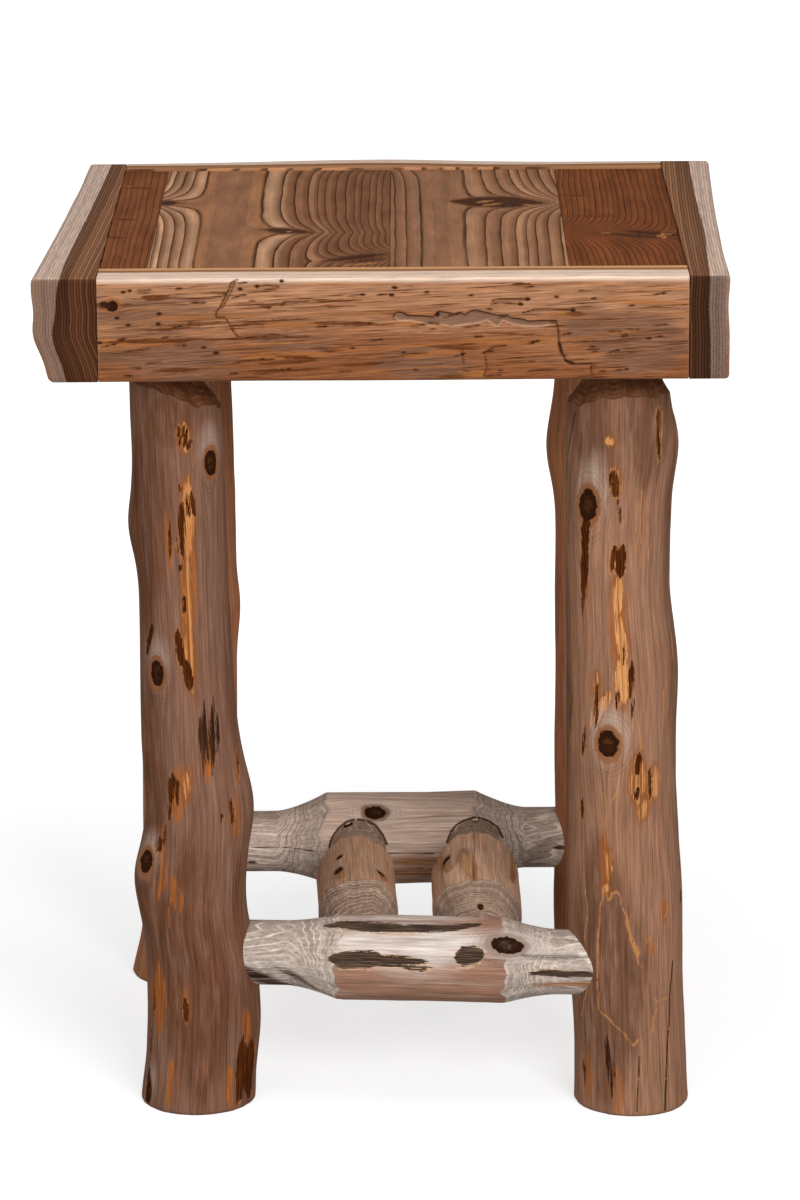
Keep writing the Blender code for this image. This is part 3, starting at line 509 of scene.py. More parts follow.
RED_BARK, RED_STREAK = (0.046, 0.011, 0.003), (0.130, 0.036, 0.008)
GREY_BARK, GREY_STREAK = (0.046, 0.028, 0.019), (0.14, 0.090, 0.062)
LEFT_LEG_FINISH = log_finish("weathered_leg", LogTones(
    (0.216, 0.107, 0.068), (0.150, 0.062, 0.033), (0.285, 0.155, 0.104), (0.36, 0.245, 0.190), KNOT_COLLAR,
    (0.165, 0.062, 0.027), (0.125, 0.045, 0.019), (0.33, 0.175, 0.09), 3.0, 0.45,
    (0.64, 0.270, 0.088), (0.42, 0.155, 0.045), RED_BARK, RED_STREAK, 0.6))
RIGHT_LEG_FINISH = log_finish("pale_leg", LogTones(
    (0.310, 0.155, 0.092), (0.170, 0.079, 0.046), (0.385, 0.208, 0.130), (0.46, 0.32, 0.245), KNOT_COLLAR,
    (0.17, 0.068, 0.032), (0.13, 0.050, 0.023), (0.34, 0.185, 0.10), 3.0, 0.45,
    (0.68, 0.320, 0.120), (0.50, 0.215, 0.075), RED_BARK, RED_STREAK, 0.6))
# Painted light: the rear legs are reddish-brown wood, painted paler still to lift the shade that falls on them at the
# back of the table.
REAR_LEG_LIFTED_FINISH = log_finish("shaded_leg", LogTones(
    (0.42, 0.172, 0.083), (0.42, 0.155, 0.064), (0.50, 0.230, 0.120), (0.46, 0.32, 0.24), KNOT_COLLAR,
    (0.20, 0.080, 0.036), (0.15, 0.058, 0.026), (0.36, 0.19, 0.10), 3.4, 0.45,
    (0.58, 0.24, 0.075), (0.48, 0.19, 0.06), RED_BARK, RED_STREAK, 0.6))
# On the rack the warm tone is silver. Along the upper middle of the front stretcher it is partly silvered wood and
# partly a painted highlight of the lamps above and in front; the pinkish-brown grey tone below it is partly painted
# shade of the underside.
RACK_FINISH = log_finish("silvered_rack", LogTones(
    (0.352, 0.188, 0.124), (0.72, 0.620, 0.560), (0.48, 0.332, 0.258), (0.60, 0.50, 0.445), (0.30, 0.215, 0.172),
    (0.52, 0.430, 0.370), (0.37, 0.290, 0.243), (0.86, 0.74, 0.62), 0.56, 0.85,
    (0.62, 0.42, 0.26), (0.64, 0.42, 0.25), GREY_BARK, GREY_STREAK, 3.5))
# Painted light: the rear stretcher's tones are painted paler than the front one's, to lift the shade that falls on it
# at the back of the rack.
REAR_RACK_LIFTED_FINISH = log_finish("shade_lifted_rack", LogTones(
    (0.64, 0.465, 0.368), (0.46, 0.270, 0.180), (0.76, 0.595, 0.485), (0.64, 0.51, 0.42), (0.22, 0.115, 0.070),
    (0.56, 0.440, 0.370), (0.35, 0.255, 0.205), (0.86, 0.72, 0.58), 0.60, 0.9,
    (0.55, 0.30, 0.14), (0.60, 0.37, 0.21), GREY_BARK, GREY_STREAK, 1.5))
RUNG_TONES = LogTones(
    (0.56, 0.318, 0.195), (0.48, 0.230, 0.115), (0.66, 0.425, 0.285), (0.62, 0.44, 0.31), (0.34, 0.15, 0.065),
    (0.46, 0.315, 0.235), (0.28, 0.178, 0.126), (0.80, 0.63, 0.48), 0.80, 0.9,
    (0.64, 0.36, 0.17), (0.55, 0.27, 0.10), RED_BARK, RED_STREAK, 0.6)
LEFT_RUNG_FINISH = log_finish("brown_rung", RUNG_TONES)
# Painted light: the right rung is the same wood as the left one, painted paler to lift the shadow that the right front
# leg throws on it.
RIGHT_RUNG_LIFTED_FINISH = log_finish("pale_rung", RUNG_TONES._replace(
    grey=(0.70, 0.415, 0.265), warm=(0.62, 0.315, 0.165), pale=(0.80, 0.54, 0.375)))
print("log finishes:", [finish.name for finish in bpy.data.materials if finish.name[-3:] in ("leg", "ack", "ung")])

# %% [markdown]
# ## The shape of a log
# A log is a profile carried along a path: round its own pith at every height, a little thicker
# or thinner, leaning this way and that. A tenon cutter has turned its ends down to a straight
# round tenon with a tapered shoulder. The numbers are those of the CAD solid, so the dressed
# log and the solid agree; only the fine lumps are new.

# %% Log shape
CLEARANCE = 0.0003
FOOT_EASE = 0.0015
KNOT_STRETCH = 1.4
SHOULDER_HOLLOW = 1.5
Tenon = namedtuple("Tenon", "seat neck shave offset rise_angle rise")
Swell = namedtuple("Swell", "share angle lift reach")
Log = namedtuple("Log", "node length radius tenon_radius bottom top stations swells place turn")


def station_curve(stations, column, share):
    """A smooth curve through stations: cubics whose slope at a station is that of its two neighbours."""
    table = np.array(stations)
    places, levels = table[:, 0], table[:, column]
    before = np.r_[0, np.arange(len(places) - 1)]
    after = np.r_[np.arange(1, len(places)), len(places) - 1]
    slopes = (levels[after] - levels[before]) / (places[after] - places[before])
    i = np.clip(np.searchsorted(places, share) - 1, 0, len(places) - 2)
    gap = places[i + 1] - places[i]
    t = (share - places[i]) / gap
    return ((2 * t ** 3 - 3 * t ** 2 + 1) * levels[i] + (t ** 3 - 2 * t ** 2 + t) * gap * slopes[i]
            + (3 * t ** 2 - 2 * t ** 3) * levels[i + 1] + (t ** 3 - t ** 2) * gap * slopes[i + 1])


def natural_radius(log, angle, z):
    """Radius of the unshaved log: its radius times the station share, plus a bell for each swelling."""
    radius = log.radius * station_curve(log.stations, 1, z / log.length)
    for swell in log.swells:
        aside = wrapped(angle - np.radians(swell.angle), 2 * np.pi) * log.radius / swell.reach
        radius = radius + swell.lift * np.exp(-aside ** 2 - ((z - swell.share * log.length)
                                                             / (KNOT_STRETCH * swell.reach)) ** 2)
    return radius


def shoulder_field(log, angle, z):
    """How far below the brim of a shaved shoulder a point lies, as a share of the shoulder's length:
    below 0 on natural wood and from 1 on the tenon. The brim wanders round the log, and it comes
    close to the tenon on the side where the log was flat."""
    wander = 1 + 0.06 * np.sin(2 * angle + 40 * log.radius) + 0.04 * np.sin(5 * angle + 1.3) - 0.03 * np.cos(9 * angle)
    wander = wander + 0.025 * np.sin(17 * angle + 0.7)
    field = np.full(np.broadcast(angle, z).shape, -FAR)
    for tenon, distance in ((log.bottom, z), (log.top, log.length - z)):
        if tenon:
            side = (0.5 + 0.5 * np.cos(angle - np.radians(tenon.rise_angle))) ** 1.5
            shave = tenon.shave * (1 - tenon.rise * side) * wander
            straight = tenon.seat + tenon.neck * (1 - tenon.rise * side)
            field = np.maximum(field, (straight + shave - distance) / shave)
    return field


def natural_share(log, angle, z):
    """0 on a tenon and 1 on natural wood: a hollow curve, slow on the tenon and steep at the brim."""
    return (1 - np.clip(shoulder_field(log, angle, z), 0, 1)) ** SHOULDER_HOLLOW


def log_sway(log, z):
    """Where the log's pith lies at a height, off its straight line."""
    return [station_curve(log.stations, column, z / log.length) for column in (2, 3)]


def log_surface(log, angle, z, lift=0.0):
    """Points of the skin in the log's own frame: natural wood round the swaying pith and the tenon round
    its own line, blended by the natural share, plus a lift. A foot is eased a little at the floor."""
    share = natural_share(log, angle, z)
    sway = log_sway(log, z)
    offset = np.where(z < log.length / 2, *(tenon.offset if tenon else 0.0 for tenon in (log.bottom, log.top)))
    natural = natural_radius(log, angle, z) - (0.0 if log.bottom else np.maximum(FOOT_EASE - z, 0))
    radius = natural * share + log.tenon_radius * (1 - share) + lift
    return np.stack((sway[0] * share + offset * (1 - share) + radius * np.cos(angle),
                     sway[1] * share + radius * np.sin(angle), z), axis=-1)


print("log shape ready")

# %% [markdown]
# ## From a log's numbers to its skin
# The skin is a grid of rings. Marks come in three ways: strokes and knots that the photograph
# shows, given by its pixels and looked up on the grid, and seeded ones on the far side, which
# no photograph shows but every log has. Knots push the fibres aside, their cores are sunk, and
# bark slivers and tan streaks lie a little below the peeled surface.

# %% Log skin
CAP_SHARES = np.array((0.97, 0.85, 0.65, 0.45, 0.25))
SLIVER_GROWTH = 1.2
TORN_TAPER = 4
CROWN_RISE, CROWN_WIDE, CROWN_LONG = 0.8, 2.1, 2.4
Marks = namedtuple("Marks", "bark tan stain knots warm line crack ember", defaults=((),) * 8)


def far_side_marks(log, seed, hidden, count, knots):
    """Seeded strokes and knots on the angles that the photograph does not show."""
    draw = np.random.default_rng(seed)
    low, high = (sum(tenon[:3]) if tenon else 0.03 for tenon in (log.bottom, log.top))
    high = log.length - high
    marks = Marks([], [], [], [], [])
    for _ in range(count):
        across, along = draw.choice(hidden) * log.radius, draw.uniform(low, high)
        size, wide = draw.uniform(0.008, 0.034), draw.uniform(0.0014, 0.0042)
        lean = draw.uniform(-0.10, 0.10) * size
        marks.bark.append(Stroke((across, along - size / 2), (across + lean, along + size / 2), wide))
        if draw.random() < 0.6:
            marks.tan.append(Stroke((across, along - size), (across + lean, along + size), wide * 2.6))
    for _ in range(knots):
        place = draw.choice(hidden) * log.radius, draw.uniform(low, high)
        marks.knots.append(Knot(place, draw.uniform(0.004, 0.007), draw.uniform(0.006, 0.010)))
    return marks


def log_skin(log, step, finish, photo, seed):
    """Rings of points round the log's middle, with lumps, flutes, knots and bark in their radius."""
    girth = 2 * np.pi * log.radius
    z, angle = np.meshgrid(np.linspace(0, log.length, int(log.length / step)),
                           np.linspace(0, 2 * np.pi, int(girth / step), endpoint=False), indexing="ij")
    share = natural_share(log, angle, z)
    ways = np.stack((np.cos(angle), np.sin(angle), np.zeros_like(angle)), axis=-1)
    plain = log_surface(log, angle, z) @ log.turn + log.place
    facing = ((CAMERA_PLACE - plain) * (ways @ log.turn)).sum(axis=-1) > 0
    pixels = photo_pixels(plain)

    def seek(x, y):
        """The place on the skin, round and along, that the photograph shows at a pixel."""
        miss = np.where(facing, np.hypot(pixels[..., 0] - x, pixels[..., 1] - y), np.inf)
        spot = np.unravel_index(np.argmin(miss), miss.shape)
        return angle[spot] * log.radius, z[spot]

    hidden = angle[0][~facing[len(z) // 2]]
    marks = far_side_marks(log, seed, hidden, int(26 * log.length / 0.6), 3 if log.length > 0.5 else 1)
    knots = marks.knots + [Knot(seek(x, y), wide * MM, long * MM) for x, y, wide, long in photo.knots]
    across = angle * log.radius
    wander = lattice_noise(np.stack((ways[..., 0] * 3.1, ways[..., 1] * 3.1, z * 55), axis=-1), seed + 1)
    bent = across + wander * 0.0009
    slivers = [(*ends, width * SLIVER_GROWTH) for *ends, width in photo.bark]
    bark = stroke_field(bent, z, marks.bark + sliver_strokes(slivers, seek, TORN_TAPER), girth)
    tan = stroke_field(bent, z, marks.tan + sliver_strokes(photo.tan, seek), girth)
    stain = stroke_field(bent, z, sliver_strokes(photo.stain, seek), girth)
    ember = stroke_field(bent, z, sliver_strokes(photo.ember, seek), girth)
    slit_and_joint_shadow = stroke_field(bent, z, path_strokes(photo.crack, seek), girth)
    warm = np.clip(stroke_field(across, z, sliver_strokes(photo.warm, seek), girth), -12, 12)
    zigzag = lattice_noise(np.stack((ways[..., 0] * 3.1, ways[..., 1] * 3.1, z * 210), axis=-1), seed + 5)
    line = stroke_field(bent + zigzag * 0.0008, z, path_strokes(photo.line, seek), girth)
    knot = knot_field(across, z, knots, girth)
    crowns = [Knot((a, l + CROWN_RISE * long), CROWN_WIDE * wide, CROWN_LONG * long) for (a, l), wide, long in knots]
    crown = knot_field(bent, z, crowns, girth)

    lump = lattice_noise(np.stack((ways[..., 0] * 1.9, ways[..., 1] * 1.9, z * 16), axis=-1), seed + 2)
    flute = lattice_noise(np.stack((ways[..., 0] * 5.5, ways[..., 1] * 5.5, z * 7), axis=-1), seed + 3)
    ripple = lattice_noise(np.stack((ways[..., 0] * 9, ways[..., 1] * 9, z * 60), axis=-1), seed + 4)
    detail = (0.8 * lump + 0.45 * flute + 0.18 * ripple) * share
    detail = detail + 0.7 * np.exp(-((knot - 1.5) / 0.5) ** 2) - 1.1 * np.clip(1.1 - knot, 0, 0.6)
    detail = detail - 0.5 * np.clip(bark + 0.3, 0, 1) * share - 0.15 * np.clip(tan, 0, 1) * share
    shape = log_surface(log, angle, z, detail * MM)

    parted = parted_grain(across, z, knots, girth) / log.radius
    grain = np.stack((np.cos(parted) * log.radius, np.sin(parted) * log.radius, z), axis=-1)
    px, py = (shape[..., axis] - sway for axis, sway in enumerate(log_sway(log, z)))
    depth = (natural_radius(log, np.arctan2(py, px), z) - np.hypot(px, py)) / MM
    shoulder = shoulder_field(log, angle, z)
    depth = np.where(shoulder > 0, np.maximum(depth, 0) + 0.6 * lump + 0.3 * flute, 0.0)
    cut = np.clip(shoulder * 40, -FAR, FAR)

    def capped(values):
        """A ring field with the flat ends added: the outer ring's values, and those of one end point."""
        first, last = np.repeat(values[:1], len(CAP_SHARES), axis=0), np.repeat(values[-1:], len(CAP_SHARES), axis=0)
        rings = np.concatenate((first, values, last))
        flat = rings.reshape(-1, *rings.shape[2:])
        return np.concatenate((flat, values[:1].mean(axis=1), values[-1:].mean(axis=1)))

    shrink = np.concatenate((CAP_SHARES[::-1], np.ones(len(z)), CAP_SHARES))[:, None]
    skin = capped(shape)
    core = capped(np.broadcast_to(shape.mean(axis=1, keepdims=True), shape.shape))
    shrink = np.concatenate((np.repeat(shrink, angle.shape[1], axis=1).ravel(), np.zeros(2)))[:, None]
    points = (core + (skin - core) * shrink) @ log.turn + log.place

    rows, columns = len(z) + 2 * len(CAP_SHARES), angle.shape[1]
    index = np.arange(rows * columns).reshape(rows, columns)
    beside = np.roll(index, -1, axis=1)
    quads = np.stack((index[:-1], beside[:-1], beside[1:], index[1:]), axis=-1).reshape(-1, 4)
    first_pole, last_pole = np.full(columns, rows * columns), np.full(columns, rows * columns + 1)
    fans = np.concatenate((np.stack((first_pole, beside[0], index[0]), axis=-1),
                           np.stack((last_pole, index[-1], beside[-1]), axis=-1)))
    ends = capped(depth)
    radial = np.linalg.norm(skin - core, axis=1) * (1 - shrink[:, 0]) / MM
    fields = {"grain": capped(grain) * np.column_stack((shrink, shrink, np.ones_like(shrink))),
              "depth": ends + radial, "cut": capped(cut), "bark": capped(bark), "tan": capped(tan),
              "stain": capped(stain), "knot": capped(knot), "warm": capped(warm), "line": capped(line),
              "ember": capped(ember), "slit_and_joint_shadow": capped(slit_and_joint_shadow), "crown": capped(crown)}
    return add_piece(log.node, points, quads.tolist() + fans.tolist(), fields, finish)


print("log skin ready")

# %% [markdown]
# ## The four legs
# The legs stand in bores of the bearers under the top, so their places come from those
# bearers. The front legs carry the marks that can be read in the photograph, a line each: the
# pixels of both ends of a sliver and its width in millimetres. The rear legs are mostly hidden.

# %% Legs
LEG_RADIUS = 0.041
LEG_INSET = 0.043
LEG_SEAT = 0.038
Brim = namedtuple("Brim", "neck shave rise_angle rise")
LEG_BRIMS = {("front", "left"): Brim(0.012, 0.033, 190, 0.47), ("front", "right"): Brim(0.012, 0.034, 300, 0.25),
             ("rear", "left"): Brim(0.026, 0.038, 90, 0.4), ("rear", "right"): Brim(0.026, 0.038, 60, 0.5)}
LEG_TENON_RADIUS = 0.024
UPRIGHT = np.eye(3)
front_low, front_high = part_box("front_bearer")
rear_low, rear_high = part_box("rear_bearer")
LEG_X = {"left": front_low.x - CLEARANCE + LEG_INSET, "right": front_high.x + CLEARANCE - LEG_INSET}
LEG_Y = {"front": (front_low.y + front_high.y) / 2, "rear": (rear_low.y + rear_high.y) / 2}


def leg(end, side, stations, swells):
    node = f"{end}_{side}_leg"
    place = np.array((LEG_X[side], LEG_Y[end], 0.0))
    brim = LEG_BRIMS[end, side]
    tenon = Tenon(LEG_SEAT, brim.neck, brim.shave, 0.0, brim.rise_angle, brim.rise)
    return Log(node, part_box(node)[1].z, LEG_RADIUS, LEG_TENON_RADIUS, None, tenon, stations, swells, place, UPRIGHT)


LEGS = {
    ("front", "left"): leg("front", "left", (
        (0.0, 1.070, 0.0179, -0.0025), (0.07, 1.005, 0.0202, -0.0020), (0.17, 1.000, 0.0212, -0.0015),
        (0.25, 0.955, 0.0165, -0.0010), (0.36, 0.935, 0.0195, -0.0005), (0.43, 0.910, 0.0168, 0.0),
        (0.52, 0.850, 0.0145, 0.0), (0.63, 0.808, 0.0133, 0.0), (0.73, 0.830, 0.0115, 0.0),
        (0.85, 0.820, 0.0095, 0.0), (1.0, 0.815, 0.0095, 0.0)),
        (Swell(0.10, -10, 0.0045, 0.024), Swell(0.29, 200, 0.0075, 0.021),
         Swell(0.38, -5, 0.0055, 0.024), Swell(0.72, 185, 0.0050, 0.019))),
    ("front", "right"): leg("front", "right", (
        (0.0, 1.050, 0.0075, -0.0115), (0.07, 1.027, 0.0061, -0.0100), (0.17, 1.034, 0.0031, -0.0075),
        (0.26, 1.041, 0.0024, -0.0050), (0.38, 1.000, -0.0003, -0.0030), (0.46, 0.993, -0.0011, -0.0020),
        (0.55, 1.010, -0.0009, -0.0015), (0.65, 0.944, -0.0046, -0.0010), (0.75, 0.960, -0.0041, 0.0),
        (0.82, 1.025, -0.0014, 0.0), (1.0, 1.015, 0.0, 0.0)),
        (Swell(0.42, 262, 0.0040, 0.022), Swell(0.72, 235, 0.0035, 0.024), Swell(0.898, 0, -0.0170, 0.0195))),
    ("rear", "left"): leg("rear", "left", (
        (0.0, 1.070, -0.0030, -0.0160), (0.07, 0.970, 0.0015, -0.0110), (0.42, 0.935, 0.0030, -0.0080),
        (0.75, 0.935, 0.0022, -0.0060), (1.0, 0.930, 0.0, -0.0040)),
        (Swell(0.31, 100, 0.0045, 0.022), Swell(0.49, 5, 0.0035, 0.020))),
    ("rear", "right"): leg("rear", "right", (
        (0.0, 1.000, -0.0020, -0.0100), (0.28, 0.945, -0.0033, -0.0090), (0.52, 0.945, -0.0033, -0.0080),
        (0.75, 0.960, -0.0038, -0.0060), (1.0, 0.930, -0.0038, -0.0040)),
        (Swell(0.28, 60, 0.0045, 0.022), Swell(0.70, 185, 0.0075, 0.024))),
}
FRONT_LEFT_MARKS = Marks(
    bark=((179, 426, 177, 438, 2.2), (184, 425, 179, 446, 2.2), (188, 428, 183, 449, 2.6), (192, 438, 187, 450, 3.2),
          (180, 484, 181, 493, 1.6), (186, 492, 188, 518, 2.4), (190, 492, 194, 517, 3.2), (182, 502, 183, 559, 3.6),
          (180, 518, 181, 532, 3.6), (170, 523, 169, 562, 2.2), (177, 536, 177, 556, 1.6), (179, 564, 179, 572, 2.2),
          (184, 596, 184, 614, 2.2), (178, 628, 183, 668, 6.0), (186, 658, 191, 691, 6.5), (153, 624, 146, 655, 5.0),
          (174, 772, 171, 806, 4.5), (179, 780, 177, 807, 2.4), (171, 800, 169, 821, 2.0), (159, 836, 158, 853, 4.2),
          (165, 824, 164, 848, 2.2), (237, 753, 238, 783, 2.0), (232, 799, 233, 826, 3.0), (222, 814, 222, 822, 1.5),
          (154, 977, 155, 1015, 2.6), (186, 998, 185, 1022, 3.6), (243, 1036, 240, 1102, 8.0), (252, 1038, 250, 1100, 9.0),
          (141, 690, 141, 716, 1.5), (247, 1052, 236, 1106, 5.0), (153, 1026, 150, 1064, 1.4)),
    tan=((184, 422, 185, 453, 8), (186, 478, 188, 560, 11), (188, 555, 189, 640, 8), (187, 625, 193, 694, 11),
         (188, 768, 186, 800, 5)),
    ember=((180, 764, 176, 824, 15), (161, 826, 162, 872, 8), (168, 860, 160, 900, 6), (172, 872, 180, 914, 11),
           (236, 792, 236, 844, 10), (237, 745, 237, 790, 5), (158, 960, 160, 1040, 13), (186, 985, 185, 1028, 8),
           (171, 1056, 171, 1110, 13), (228, 1066, 236, 1114, 18), (203, 1060, 203, 1078, 4), (214, 755, 206, 774, 7),
           (247, 1006, 247, 1044, 8), (151, 955, 150, 1034, 8), (186, 470, 190, 700, 15), (168, 500, 168, 580, 8), (207, 730, 206, 786, 16)),
    stain=((199.5, 716, 201, 756, 4.0), (204.5, 700, 204, 778, 5.5), (209, 720, 208, 770, 4.0), (213.5, 698, 212, 776, 5.5),
           (218.5, 712, 217, 752, 4.0), (150, 1060, 147, 1112, 6)),
    knots=((211, 463, 7.2, 9.4), (157, 673, 7.2, 9.6), (146, 862, 5.4, 8.5), (149, 1092, 4.0, 9.0)),
    # Partly warm wood and partly painted shade: these broad strokes darken the top under the rail, the lower end and
    # the sides of the leg, so that its middle reads as lit.
    warm=((142, 380, 146, 640, 44), (166, 394, 172, 450, 50), (150, 650, 152, 1010, 24), (234, 440, 238, 760, 16), (190, 830, 196, 1115, 60),
          (240, 860, 250, 1110, 14)),
    line=((1.2, (192, 453), (193, 469)), (1.3, (147, 1036), (146, 1058), (149, 1078)),
          (1.3, (154, 1038), (153, 1060), (155, 1080)), (1.2, (170, 896), (168, 930))))
FRONT_RIGHT_MARKS = Marks(
    bark=((659, 408, 659, 462, 3.2), (613, 469, 617, 498, 5.0), (618, 498, 621, 526, 1.0), (616, 544, 610, 575, 3.0),
          (623, 544, 619, 579, 6.5), (626, 638, 624, 665, 2.0), (632, 659, 629, 699, 3.6), (632, 698, 632, 723, 1.6),
          (619, 688, 616, 709, 2.0), (585, 724, 583, 756, 2.4), (639, 753, 636, 776, 4.8), (638, 787, 635, 800, 3.2),
          (650, 767, 650, 801, 3.8), (582, 797, 582, 819, 2.0), (681, 889, 681, 907, 2.5),
          (597, 684, 594, 728, 2.0), (572, 690, 570, 740, 1.4), (588, 498, 584, 592, 6.5), (585, 520, 583, 616, 3.2)),
    tan=((618, 573, 617, 622, 6), (618, 615, 625, 672, 9), (622, 650, 622, 708, 12), (610, 690, 590, 728, 9),
         (597, 674, 595, 697, 3.5), (639, 752, 637, 805, 11), (655, 765, 654, 800, 8), (645, 800, 641, 820, 7),
         (608, 849, 609, 881, 5), (607, 884, 606, 893, 6), (613, 466, 617, 500, 8), (609, 436, 610, 446, 6)),
    stain=((606, 1034, 609, 1086, 3.4), (612, 1058, 613, 1098, 2.6), (584, 1056, 585, 1088, 2.6)),
    ember=((614, 1062, 619, 1118, 15), (586, 1050, 590, 1100, 9), (665, 900, 663, 924, 6), (648, 932, 650, 956, 6),
           (618, 560, 620, 700, 13), (640, 760, 640, 824, 14), (604, 830, 608, 900, 9),
           (585, 560, 584, 622, 8)),
    knots=((588, 506, 7.4, 12.0), (607, 744, 7.6, 10.0)),
    # Partly warm wood and partly painted shade: these broad strokes darken the top under the rail, the lower end and
    # the sides of the leg, so that its middle reads as lit.
    warm=((562, 380, 562, 900, 18), (674, 400, 682, 900, 16), (600, 840, 606, 1125, 60), (612, 910, 616, 1010, 50),
          (596, 330, 600, 500, 46), (640, 330, 646, 490, 48)),
    crack=((1.6, (672, 960), (668, 1029), (667, 1079), (665, 1112)), (1.4, (640, 1055), (639, 1079), (637, 1114)),
           (1.4, (575, 412), (568, 458), (566, 481)), (1.2, (569, 381), (569, 403))),
    line=((1.3, (642, 490), (641, 570)), (1.2, (648, 500), (648, 560)), (1.2, (637, 500), (637, 555)),
          (1.3, (640, 720), (639, 752)), (1.4, (663, 688), (663, 726)), (1.3, (672, 630), (672, 660)),
          (1.4, (663, 410), (664, 440)), (1.6, (602, 792), (608, 810), (606, 827)), (1.6, (619, 787), (608, 806)),
          (1.4, (582, 808), (582, 822)), (1.3, (585, 888), (587, 913), (583, 941)), (1.2, (587, 988), (582, 1017)),
          (1.5, (604, 886), (600, 914), (598, 940), (597, 980), (599, 1010), (607, 1017), (612, 1023), (623, 1032),
           (630, 1041), (635, 1046), (639, 1040)),
          (1.6, (604, 888), (609, 901), (613, 893), (618, 892), (621, 906), (629, 919), (631, 936), (635, 941), (636, 960),
           (642, 968)),
          (2.2, (628, 918), (634, 952)), (2.4, (636, 946), (639, 956)), (1.4, (647, 943), (650, 935), (652, 949)),
          (1.3, (651, 996), (657, 1002), (662, 999), (668, 997)), (1.2, (657, 1008), (653, 1021), (652, 1034)),
          (1.4, (667, 904), (663, 919))))
NO_MARKS = Marks()
log_skin(LEGS["front", "left"], 0.00132, LEFT_LEG_FINISH, FRONT_LEFT_MARKS, 11)
log_skin(LEGS["front", "right"], 0.00135, RIGHT_LEG_FINISH, FRONT_RIGHT_MARKS, 12)
log_skin(LEGS["rear", "left"], 0.0018, REAR_LEG_LIFTED_FINISH, NO_MARKS, 13)
log_skin(LEGS["rear", "right"], 0.0018, REAR_LEG_LIFTED_FINISH, NO_MARKS, 14)

# %% [markdown]
# ## The rack
# Two stretchers join the legs and two rungs join the stretchers, each with a shaved end and a
# round tenon. A stretcher runs on a line from leg to leg, which on the front one is a little
# askew, and its own first axis points down; a rung's length runs along Y and its own second
# axis points down. Their ends are the CAD's.

# %% Stretchers and rungs
STRETCHER_TENON_RADIUS = 0.0245
STRETCHER_TENON_DEPTH = 0.038
STRETCHER_SHAVE = 0.040
STANDS = {("front", "left"): 0.0040, ("front", "right"): -0.0107, ("rear", "left"): 0.003, ("rear", "right"): 0.003}
RACK_HEIGHT = 0.110
RUNG_TENON_RADIUS = 0.0225
RUNG_TENON = Tenon(0.024, 0.003, 0.060, 0.0, 0, 0.0)
BACKWARDS = np.array(((1, 0, 0), (0, 0, -1), (0, 1, 0)), dtype=float)


def stretcher(end, radius, necks, rises, stations, swell):
    """A stretcher on the line through both legs near their middles, from tip to tip: a tip lies the
    tenon's depth inside the face of its leg."""
    pair = [LEGS[end, side] for side in ("left", "right")]
    height = np.array(RACK_HEIGHT)
    middles = [log.place + (*log_sway(log, height), RACK_HEIGHT) + np.array((0, STANDS[end, side], 0))
               for log, side in zip(pair, ("left", "right"))]
    heading = (middles[1] - middles[0]) / np.linalg.norm(middles[1] - middles[0])
    tips = [middle + way * (natural_radius(log, np.arctan2(way[1], way[0]), height) - STRETCHER_TENON_DEPTH)
            for log, middle, way in zip(pair, middles, (heading, -heading))]
    tenons = [Tenon(STRETCHER_TENON_DEPTH, neck, STRETCHER_SHAVE, -rise, 0, 0.0) for neck, rise in zip(necks, rises)]
    turn = np.array(((0, 0, -1), (-heading[1], heading[0], 0), heading))
    return Log(f"{end}_stretcher", np.linalg.norm(tips[1] - tips[0]), radius, STRETCHER_TENON_RADIUS, *tenons, stations,
               (swell,), tips[0], turn)


def rung(side, radius, x, stations, swell):
    """A rung from stretcher to stretcher."""
    node = f"{side}_rung"
    low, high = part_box(node)
    place = np.array((x, low.y, RACK_HEIGHT))
    return Log(node, high.y - low.y, radius, RUNG_TENON_RADIUS, RUNG_TENON, RUNG_TENON, stations, (swell,), place,
               BACKWARDS)


front_stretcher = stretcher("front", 0.0320, (0.024, 0.010), (0.004, 0.0), (
    (0.0, 0.97, 0.0, 0.0), (0.35, 1.0, -0.0010, 0.0), (0.65, 1.0, -0.0005, 0.0), (1.0, 0.97, 0.0, 0.0)),
    Swell(0.730, 262, 0.0025, 0.018))
rear_stretcher = stretcher("rear", 0.0372, (0.030, 0.024), (-0.0035, -0.0015), (
    (0.0, 0.96, 0.0, 0.0), (0.45, 1.0, 0.0010, 0.0), (0.75, 0.985, 0.0, 0.0), (1.0, 0.96, 0.0, 0.0)),
    Swell(0.390, 215, 0.0030, 0.018))
left_rung = rung("left", 0.0305, -0.028, (
    (0.0, 1.0, 0.0040, 0.0), (0.5, 1.01, 0.0, -0.0010), (1.0, 0.97, -0.0040, 0.0)), Swell(0.330, 300, 0.0030, 0.018))
right_rung = rung("right", 0.0345, 0.066, (
    (0.0, 0.99, 0.0, 0.0), (0.4, 1.0, -0.0010, 0.0005), (1.0, 0.98, 0.0, 0.0)), Swell(0.42, 235, 0.0030, 0.018))
